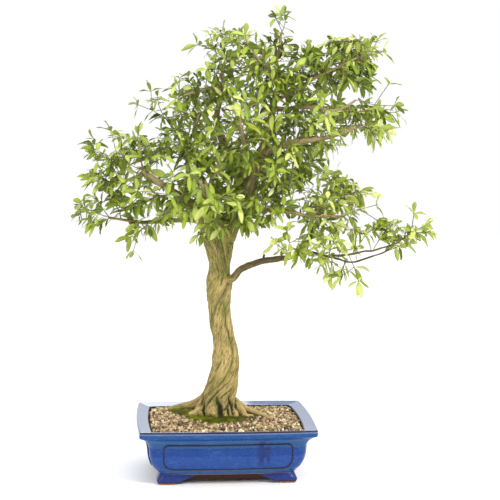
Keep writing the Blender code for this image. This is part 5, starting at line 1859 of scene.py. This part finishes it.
# Masses of leaves that the photograph shows: middle, half sizes, how full and how light each one is
# How light a mass is holds painted light as well as the leaves' own tone: the low masses at the right and
# front, where the light falls, are lighter.
MASSES = np.array([
    (-172, -20, 585, 51, 55, 20, 0.9, 0.35), (-230, -5, 581, 24, 30, 17, 0.6, 0.3),
    (-230, -15, 552, 30, 45, 24, 1, 0.35), (-183, -15, 553, 44, 70, 27, 1, 0.35),
    (-135, 0, 560, 41, 80, 27, 1, 0.4), (-196, -20, 515, 37, 55, 27, 1, 0.45),
    (-221, -30, 526, 27, 40, 27, 1, 0.5), (-148, 30, 514, 31, 60, 23, 0.8, 0.35),
    (-227, 0, 472, 34, 45, 24, 1, 0.4), (-230, 0, 443, 29, 40, 19, 1, 0.45),
    (-179, 20, 476, 38, 55, 22, 0.75, 0.4), (-128, -10, 473, 27, 55, 27, 0.9, 0.5),
    (-97, 0, 457, 28, 50, 19, 0.7, 0.45), (-131, 20, 433, 31, 40, 12, 0.35, 0.7),
    (-183, 50, 488, 25, 40, 14, 0.6, 0.3), (-72, -20, 470, 31, 70, 24, 1, 0.45),
    (-85, -30, 513, 27, 60, 17, 1, 0.4), (-87, 10, 577, 41, 90, 34, 1, 0.35),
    (-46, 0, 564, 38, 120, 34, 1, 0.35), (-52, 0, 504, 34, 110, 28, 1, 0.35),
    (-21, -20, 488, 41, 120, 38, 1, 0.45), (-35, -60, 444, 30, 40, 17, 0.9, 0.75),
    (-5, -60, 434, 24, 40, 15, 0.8, 0.8), (-51, -20, 417, 10, 20, 15, 0.5, 0.85),
    (24, 0, 478, 42, 120, 42, 1, 0.4), (42, 0, 440, 28, 70, 17, 0.9, 0.5),
    (6, 0, 547, 45, 130, 41, 1, 0.4), (62, 0, 539, 42, 130, 38, 1, 0.4), (76, 0, 485, 38, 120, 35, 1, 0.4),
    (114, 0, 517, 31, 100, 24, 0.9, 0.4), (59, -30, 454, 24, 60, 21, 0.8, 0.45),
    (100, -10, 569, 34, 110, 28, 0.9, 0.45), (58, 10, 596, 42, 120, 31, 1, 0.45),
    (114, 10, 617, 28, 90, 21, 0.75, 0.5), (21, -20, 619, 37, 90, 31, 1, 0.55),
    (-60, 20, 687, 36, 45, 21, 1, 0.3), (-38, 10, 667, 34, 60, 21, 1, 0.35),
    (-80, 20, 653, 28, 45, 19, 1, 0.35), (-114, 25, 652, 22, 35, 16, 0.9, 0.35),
    (-83, 15, 622, 34, 60, 24, 1, 0.4), (-37, 10, 629, 38, 90, 28, 1, 0.45),
    (-3, 10, 664, 38, 100, 31, 1, 0.45), (-114, 20, 618, 21, 40, 12, 0.5, 0.4),
    (-9, 5, 758, 31, 50, 22, 1, 0.45), (22, 5, 749, 34, 65, 27, 1, 0.4),
    (-27, 0, 739, 20, 40, 14, 0.7, 0.4), (1, 5, 718, 38, 80, 24, 1, 0.35),
    (-19, 5, 701, 21, 50, 17, 0.7, 0.4), (43, 10, 702, 41, 100, 31, 1, 0.4),
    (53, 10, 740, 24, 60, 21, 0.9, 0.4), (67, 10, 753, 17, 40, 14, 0.8, 0.4),
    (100, 15, 758, 28, 55, 17, 1, 0.35), (98, 15, 787, 19, 16, 12, 0.5, 0.3),
    (100, 15, 804, 12, 10, 7, 0.35, 0.3), (110, 15, 731, 35, 80, 24, 1, 0.35),
    (61, 10, 665, 38, 110, 31, 1, 0.45), (103, 15, 693, 35, 100, 28, 1, 0.4),
    (37, -20, 653, 24, 60, 20, 1, 0.6), (138, 20, 742, 17, 50, 14, 0.6, 0.35),
    (156, 20, 735, 24, 60, 16, 0.7, 0.3), (182, -10, 751, 24, 60, 17, 1, 0.45),
    (215, 0, 747, 31, 70, 19, 1, 0.55), (244, 20, 737, 24, 60, 17, 0.9, 0.55),
    (196, 10, 725, 38, 90, 21, 1, 0.4), (232, 10, 712, 31, 70, 21, 1, 0.5),
    (163, 20, 708, 31, 80, 21, 1, 0.35), (135, 10, 710, 24, 80, 21, 0.9, 0.35),
    (236, 10, 684, 24, 50, 24, 1, 0.65), (204, 0, 690, 24, 70, 21, 0.9, 0.5),
    (174, 20, 680, 24, 70, 21, 0.8, 0.35), (127, 10, 666, 24, 90, 28, 0.9, 0.35),
    (156, 10, 652, 24, 80, 17, 0.8, 0.4), (252, 20, 697, 17, 40, 14, 0.7, 0.6),
    (257, 25, 755, 17, 25, 10, 0.35, 0.45), (207, 10, 639, 31, 80, 21, 0.9, 0.5),
    (184, 30, 632, 21, 50, 14, 0.7, 0.4), (235, 0, 639, 28, 60, 21, 1, 0.55),
    (270, 0, 636, 24, 45, 16, 0.9, 0.5), (293, -10, 633, 19, 30, 14, 0.6, 0.45),
    (306, -15, 633, 12, 18, 9, 0.35, 0.5), (251, -10, 608, 24, 45, 21, 1, 0.8),
    (220, 10, 611, 31, 70, 17, 0.9, 0.6), (183, 20, 604, 32, 80, 16, 0.9, 0.45),
    (144, 20, 597, 28, 80, 16, 0.9, 0.4), (129, 10, 565, 28, 90, 21, 1, 0.45),
    (164, 10, 580, 24, 60, 14, 0.8, 0.5), (275, -15, 605, 14, 20, 14, 0.4, 0.7),
    (197, 0, 573, 21, 40, 10, 0.5, 0.6), (257, -20, 584, 10, 20, 12, 0.35, 0.75),
    (137, 0, 540, 24, 70, 21, 0.8, 0.45), (162, 20, 548, 18, 40, 12, 0.5, 0.4),
    (174, -20, 522, 22, 50, 17, 0.9, 0.65), (204, -20, 510, 31, 60, 19, 1, 0.7),
    (226, -25, 495, 28, 50, 19, 1, 0.75), (190, 0, 490, 31, 70, 21, 1, 0.6),
    (216, -25, 470, 35, 45, 14, 1, 0.85), (146, 0, 486, 24, 70, 24, 0.9, 0.5),
    (166, -10, 466, 31, 60, 17, 0.9, 0.6), (250, -30, 488, 17, 30, 16, 0.7, 0.8),
    (267, -30, 511, 10, 14, 7, 0.25, 0.6), (129, 0, 465, 21, 60, 17, 0.7, 0.5),
    (172, -20, 539, 9, 12, 10, 0.3, 0.6), (84, -60, 414, 22, 35, 15, 0.7, 0.6),
    (112, -70, 398, 27, 40, 15, 0.9, 0.65), (117, -40, 419, 24, 45, 14, 0.8, 0.6),
    (142, -60, 411, 27, 50, 19, 1, 0.7), (174, -50, 417, 31, 55, 20, 1, 0.75),
    (197, -60, 404, 24, 40, 15, 0.9, 0.75), (159, -60, 384, 27, 35, 15, 0.8, 0.75),
    (132, -60, 380, 20, 30, 10, 0.6, 0.7), (214, -40, 430, 21, 40, 14, 0.7, 0.7),
    (177, -30, 439, 28, 50, 14, 0.8, 0.65), (205, -20, 449, 24, 40, 12, 0.6, 0.6),
    (139, -30, 439, 21, 40, 14, 0.6, 0.55), (252, -60, 439, 27, 35, 15, 0.9, 0.7),
    (281, -75, 440, 20, 35, 17, 1.3, 0.72), (308, -85, 432, 24, 30, 17, 2.2, 0.92),
    (322, -88, 434, 17, 24, 15, 2.4, 1.0), (289, -80, 417, 27, 28, 12, 1.2, 0.7),
    (235, -50, 427, 17, 30, 12, 0.6, 0.7), (287, -70, 463, 14, 20, 8, 0.4, 0.6),
    (170, -60, 358, 15, 22, 10, 0.5, 0.8), (184, -60, 343, 10, 12, 12, 0.5, 0.8),
    (165, -60, 339, 9, 10, 12, 0.4, 0.7), (201, -60, 363, 12, 14, 9, 0.35, 0.7),
], dtype=float)


def mass_gaps(places: np.ndarray) -> np.ndarray:
    """How far out in each mass each place lies: 0 at its middle, 1 on its surface, by the square."""
    return (((places[:, None] - MASSES[None, :, :3]) / MASSES[None, :, 3:6]) ** 2).sum(axis=-1)


def leaf_tone_and_light(places: np.ndarray, rng: np.random.Generator) -> np.ndarray:
    """How light each leaf is, partly its own tone and partly painted light: as the masses round it,
    weighted by e^-gap, with a draw of its own.

    Args:
        places: The leaves' feet.
        rng: Draws each leaf's share.

    Returns:
        Tones from 0 to 1.
    """
    near = np.exp(-np.minimum(mass_gaps(places), 40)) + 1e-9
    # The masses' lightness: painted light as well as leaf tone.
    light = (near * MASSES[None, :, 7]).sum(axis=1) / near.sum(axis=1)
    draw = rng.normal(0, 0.2, len(places)) + (rng.random(len(places)) > 0.95) * 0.15
    return np.clip(0.62 * light + 0.195 + draw, 0.02, 0.95)


@dataclass
class Crown:
    """The leaves and twigs beyond the CAD's sprays: shoots at seeded places, joined to the wood."""

    shoots: int = 1010
    spacing: float = 13.6
    margin: float = 9.0
    steps: int = 8
    pair_steps: tuple[float, ...] = (0.5, 8.5, 17.5, 27.5)
    pair_sizes: tuple[float, ...] = (0.85, 1.05, 1.05, 0.95)
    leaf_length: float = 22.0
    leaf_spread: float = 4.8
    seed: int = 41

    def tips(self, taken: np.ndarray, wood: np.ndarray, rng: np.random.Generator) -> np.ndarray:
        """Shoot tips beside the thin limbs and spread in the masses by their size, no nearer to each other
        than the spacing.

        Args:
            taken: Places that the CAD's sprays fill.
            wood: Rows of x, y, z and radius along the limbs.
            rng: Draws the places.

        Returns:
            Their places.
        """
        half = np.maximum(MASSES[:, 3:6] - self.margin, 0.25 * MASSES[:, 3:6])
        size = MASSES[:, 6] * np.prod(MASSES[:, 3:6], axis=1) ** 0.8
        size = size * np.interp(MASSES[:, 0], [-60, 40, 240], [1.0, 0.85, 1.35])
        wanted = rng.choice(len(MASSES), 9 * self.shoots, p=size / size.sum())
        ray = unit(rng.normal(size=(len(wanted), 3))) * rng.random((len(wanted), 1)) ** 0.42
        drawn = MASSES[wanted, :3] + ray * half[wanted]
        thin = wood[rng.permutation(np.flatnonzero(wood[:, 3] < 7))]
        beside = thin[:, :3] + unit(rng.normal(size=(len(thin), 3))) * rng.uniform(9, 22, (len(thin), 1))
        drawn = np.concatenate([beside[mass_gaps(beside).min(axis=1) < 1.1], drawn])
        kept = list(taken)
        start = len(kept)
        looser = np.interp(drawn[:, 0], [-170, -60, 60, 150, 250], [0.97, 1.1, 1.12, 0.98, 0.78])
        for place, spacing in zip(drawn, self.spacing * looser * rng.uniform(0.8, 1.25, len(drawn))):
            if np.linalg.norm(np.array(kept) - place, axis=1).min() > spacing:
                kept.append(place)
            if len(kept) - start >= self.shoots:
                break
        return np.array(kept[start:])

    def twigs(self, tips: np.ndarray, wood: np.ndarray,
              rng: np.random.Generator) -> tuple[np.ndarray, np.ndarray]:
        """Join each tip to the nearest wood or twig, the nearest tips first, by a curve with one bend.

        Args:
            tips: Places of the shoots' tips.
            wood: Rows of x, y, z and radius along the limbs.
            rng: Draws how the curves bend.

        Returns:
            The twigs' paths, and how many shoots hang on each.
        """
        reach = np.linalg.norm(tips[:, None] - wood[None, :, :3], axis=-1).min(axis=1)
        order = np.argsort(reach)
        steps = self.steps
        pool = np.zeros((len(wood) + len(tips) * steps, 3))
        pool[:len(wood)] = wood[:, :3]
        owner = np.full(len(pool), -1)
        filled = len(wood)
        paths = np.zeros((len(tips), steps, 3))
        parent = np.full(len(tips), -1)
        share = np.linspace(0, 1, steps)[:, None]
        for row, tip in enumerate(tips[order]):
            gap = np.linalg.norm(pool[:filled] - tip, axis=1)
            lift = np.maximum(pool[:filled, 2] - tip[2], 0)
            spot = (gap + 0.7 * lift + 400 * (gap < 7)).argmin()
            root = pool[spot]
            away = tip - root
            aside = rng.normal(0, 0.1, 3) * np.linalg.norm(away)
            bend = root + away * 0.5 + aside - UP * 0.06 * abs(away[0])
            paths[row] = (1 - share) ** 2 * root + 2 * share * (1 - share) * bend + share ** 2 * tip
            parent[row] = owner[spot]
            pool[filled:filled + steps - 1] = paths[row, 1:]
            owner[filled:filled + steps - 1] = row
            filled += steps - 1
        load = np.ones(len(tips))
        for row in range(len(tips) - 1, -1, -1):
            if parent[row] >= 0:
                load[parent[row]] += load[row]
        return paths, load

    def leaves(self, paths: np.ndarray, rng: np.random.Generator) -> Blades:
        """Leaves in crossed pairs down each shoot, with one on its tip.

        Each leans out of the twig by about 60 degrees, and its upper side looks up and out of the tree.

        Args:
            paths: The shoots' paths, of shape (shoots, steps, 3).
            rng: Draws which leaves there are, how they lie and their sizes.

        Returns:
            The leaves.
        """
        tangent = unit(np.gradient(paths, axis=1))
        walk = np.cumsum(np.linalg.norm(np.diff(paths, axis=1), axis=-1), axis=1)
        walk = np.column_stack([np.zeros(len(paths)), walk])
        one = np.arange(len(paths))
        feet, axes, pairs = [], [], []
        aside = unit(np.cross(tangent[:, -1], unit(rng.normal(size=(len(paths), 3)))))
        for number, back in enumerate(self.pair_steps):
            at = walk[:, -1] - back - rng.uniform(0, 3, len(paths))
            long_enough = (at > 2.5) | (number == 0)
            at = np.maximum(at, 0)
            row = np.clip((walk <= at[:, None]).sum(axis=1) - 1, 0, paths.shape[1] - 2)
            share = (at - walk[one, row]) / np.maximum(walk[one, row + 1] - walk[one, row], 1e-6)
            foot = paths[one, row] + (paths[one, row + 1] - paths[one, row]) * share[:, None]
            along = tangent[one, row]
            across = aside if number % 2 == 0 else np.cross(along, aside)
            for sign in (-1, 1):
                keep = long_enough & (rng.random(len(paths)) < 0.93)
                lean = rng.uniform(0.25, 0.95, (len(paths), 1))
                axis = across * sign + along * lean + rng.normal(0, 0.24, (len(paths), 3))
                feet.append((foot + across * sign * 0.4)[keep])
                axes.append(axis[keep])
                pairs.append(np.full(keep.sum(), number))
        feet.append(paths[:, -1] - tangent[:, -1] * 0.6)
        axes.append(tangent[:, -1] + rng.normal(0, 0.3, (len(paths), 3)))
        pairs.append(np.zeros(len(paths), dtype=int))
        foot, axis, pair = np.concatenate(feet), unit(np.concatenate(axes)), np.concatenate(pairs)
        count = len(foot)
        out = unit(foot - np.array([0.0, 10.0, 560.0]))
        axis = unit(axis + out * rng.uniform(0.0, 0.4, (count, 1)) - UP * rng.uniform(0.0, 0.5, (count, 1)))
        face = UP * 0.75 + out * 0.55 + rng.normal(0, 0.4, (count, 3))
        length = rng.normal(self.leaf_length, self.leaf_spread, count) * np.choose(pair, self.pair_sizes)
        length = np.clip(length, 12, 32)
        half = length * rng.uniform(0.14, 0.21, count)
        return Blades(foot, axis, face, length, half, leaf_tone_and_light(foot, rng), rng.uniform(0.0, 0.3, count))

    def build(self, wood: np.ndarray, taken: np.ndarray, finish: bpy.types.Material,
              bark: bpy.types.Material) -> None:
        """The crown in four pieces of leaves and one of twigs.

        Args:
            wood: Rows of x, y, z and radius along the limbs.
            taken: Places that the CAD's sprays fill.
            finish: The leaves' finish.
            bark: The twigs' finish.
        """
        rng = np.random.default_rng(self.seed)
        tips = self.tips(taken, wood, rng)
        paths, load = self.twigs(tips, wood, rng)
        thick = np.minimum(0.42 + 0.3 * np.sqrt(load), 3.2)
        twigs = twigs_skin(paths, 0.45, thick, 4)
        add_piece("fine_twigs", twigs.mesh("fine_twigs"), bark)
        blades = self.leaves(paths, rng)
        low, high = (np.array(corner) / MM - POT_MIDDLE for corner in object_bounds())
        tip = blades.foot + unit(blades.axis) * blades.length[:, None]
        room = np.array([6.0, 3.0, 6.0])
        blades = blades.chosen(((tip > low - room) & (tip < high + room)).all(axis=1))
        log.info("crown: %d shoots, %d leaves", len(tips), len(blades.foot))
        order = np.argsort(blades.foot[:, 0])
        for number, part in enumerate(np.array_split(order, 4)):
            name = f"crown_leaves_{number + 1}"
            add_piece(name, blades.chosen(part).skin(rng).mesh(name), finish)


# The stage


@dataclass(frozen=True)
class PlainPaper:
    """Pale, matt backdrop paper."""

    colour: Triple = (0.9, 0.9, 0.9)
    fibre: Triple = (0.86, 0.86, 0.86)

    def material(self) -> bpy.types.Material:
        """The finish: plain, with faint fibres."""
        graph = Graph("backdrop_paper")
        fibres = graph.noise(graph.place(), 300.0, 2.0)
        return graph.finish(Base_Color=graph.mix(fibres * 0.1, self.colour, self.fibre), Roughness=0.85)


@dataclass
class Studio:
    """A pale floor, a white sky, soft lights and the camera of the photograph.

    The floor's radius and height are in millimetres, other lengths in metres and angles in degrees.
    """

    camera_at: Triple = (-0.209, -2.0857, 0.595)
    lens: float = 86.4
    yaw: float = 5.81
    pitch: float = 5.60
    roll: float = 0.65
    aim_height: float = 0.4
    floor_radius: float = 5200.0
    floor_height: float = -0.4

    def floor(self) -> None:
        """A wide round sheet just under the feet."""
        sides = 48
        angle = angles(sides)
        radius = np.array([self.floor_radius, 0.5])[:, None]
        level = np.full((2, sides), self.floor_height)
        ring = np.stack([radius * np.cos(angle), radius * np.sin(angle), level], axis=-1)
        skin = Skin(ring.reshape(-1, 3), [strip_faces(2, sides), np.arange(sides)[None] + sides])
        mesh = skin.mesh("floor")
        mesh.materials.append(PlainPaper().material())
        add_object("floor", mesh)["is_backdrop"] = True

    def light(self, name: str, place: Triple, size: float, power: float,
              colour: Triple = (1.0, 1.0, 1.0)) -> None:
        """A square soft light that looks at the middle of the tree.

        Args:
            name: The light's name.
            place: Where it stands.
            size: The length of its sides, in metres.
            power: Its power, in watts.
            colour: Its colour.
        """
        lamp = bpy.data.lights.new(name, "AREA")
        lamp.energy = power
        lamp.size = size
        lamp.color = colour
        held = add_object(name, lamp)
        held.location = place
        away = Vector(place) - Vector((0.0, 0.0, self.aim_height))
        held.rotation_euler = away.to_track_quat("Z", "Y").to_euler()

    def camera(self) -> None:
        """The camera, its axes from yaw, pitch and roll."""
        yaw, pitch, roll = (math.radians(angle) for angle in (self.yaw, self.pitch, self.roll))
        ahead = Vector((math.sin(yaw) * math.cos(pitch), math.cos(yaw) * math.cos(pitch), -math.sin(pitch)))
        level = Vector((math.cos(yaw), -math.sin(yaw), 0.0))
        above = level.cross(ahead)
        right = level * math.cos(roll) + above * math.sin(roll)
        up = above * math.cos(roll) - level * math.sin(roll)
        data = bpy.data.cameras.new("photo_camera")
        data.lens = self.lens
        data.sensor_width = 36.0
        held = add_object("photo_camera", data)
        axes = Matrix((right, up, -ahead)).transposed().to_4x4()
        held.matrix_world = Matrix.Translation(self.camera_at) @ axes
        bpy.context.scene.camera = held

    def build(self) -> None:
        """Floor, sky, lights, plain view transform and camera."""
        self.floor()
        world = bpy.data.worlds.new("soft_sky")
        world.use_nodes = True
        sky = world.node_tree.nodes["Background"].inputs
        sky["Color"].default_value = (1.0, 1.0, 1.0, 1.0)
        sky["Strength"].default_value = 1.0
        bpy.context.scene.world = world
        self.light("key", (1.2, -1.6, 2.3), 0.8, 62.0, (1.0, 0.985, 0.96))
        self.light("fill", (-1.8, -1.7, 1.3), 1.6, 12.0)
        self.light("back", (-0.5, 2.0, 1.9), 1.6, 20.0)
        overhead = bpy.data.lights.new("overhead", "SUN")
        overhead.energy = 0.7
        overhead.angle = math.radians(60)
        add_object("overhead", overhead)
        bpy.context.scene.view_settings.view_transform = "Standard"
        self.camera()


def main() -> None:
    """Build and dress every piece, in order."""
    logging.basicConfig(level=logging.INFO, format="%(message)s")
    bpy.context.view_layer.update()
    Pot().build()
    TopDressing().build()
    MossMound().build()
    soil = Earth("soil_earth", dark=(0.05, 0.03, 0.018), light=(0.12, 0.08, 0.05))
    for name, material in (("soil", soil.material()), ("drain_screen_left", BlackMesh().material()),
                           ("drain_screen_right", BlackMesh().material())):
        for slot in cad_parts[name].material_slots:
            slot.material = material
    limbs = Wood().build()
    wood = np.concatenate([route[:, :4] for route in limbs.values()])
    finish = Leafage().material()
    bark = Bark("twig_bark", light=(0.3, 0.205, 0.12), tan=(0.17, 0.108, 0.058), dark=(0.045, 0.026, 0.014),
                algae=(0.09, 0.09, 0.02), green=0.5, crown_grey=0.15).material()
    taken = Sprays().build(wood, finish, bark)
    Crown().build(wood, taken, finish, bark)
    Studio().build()


if __name__ == "__main__":
    main()
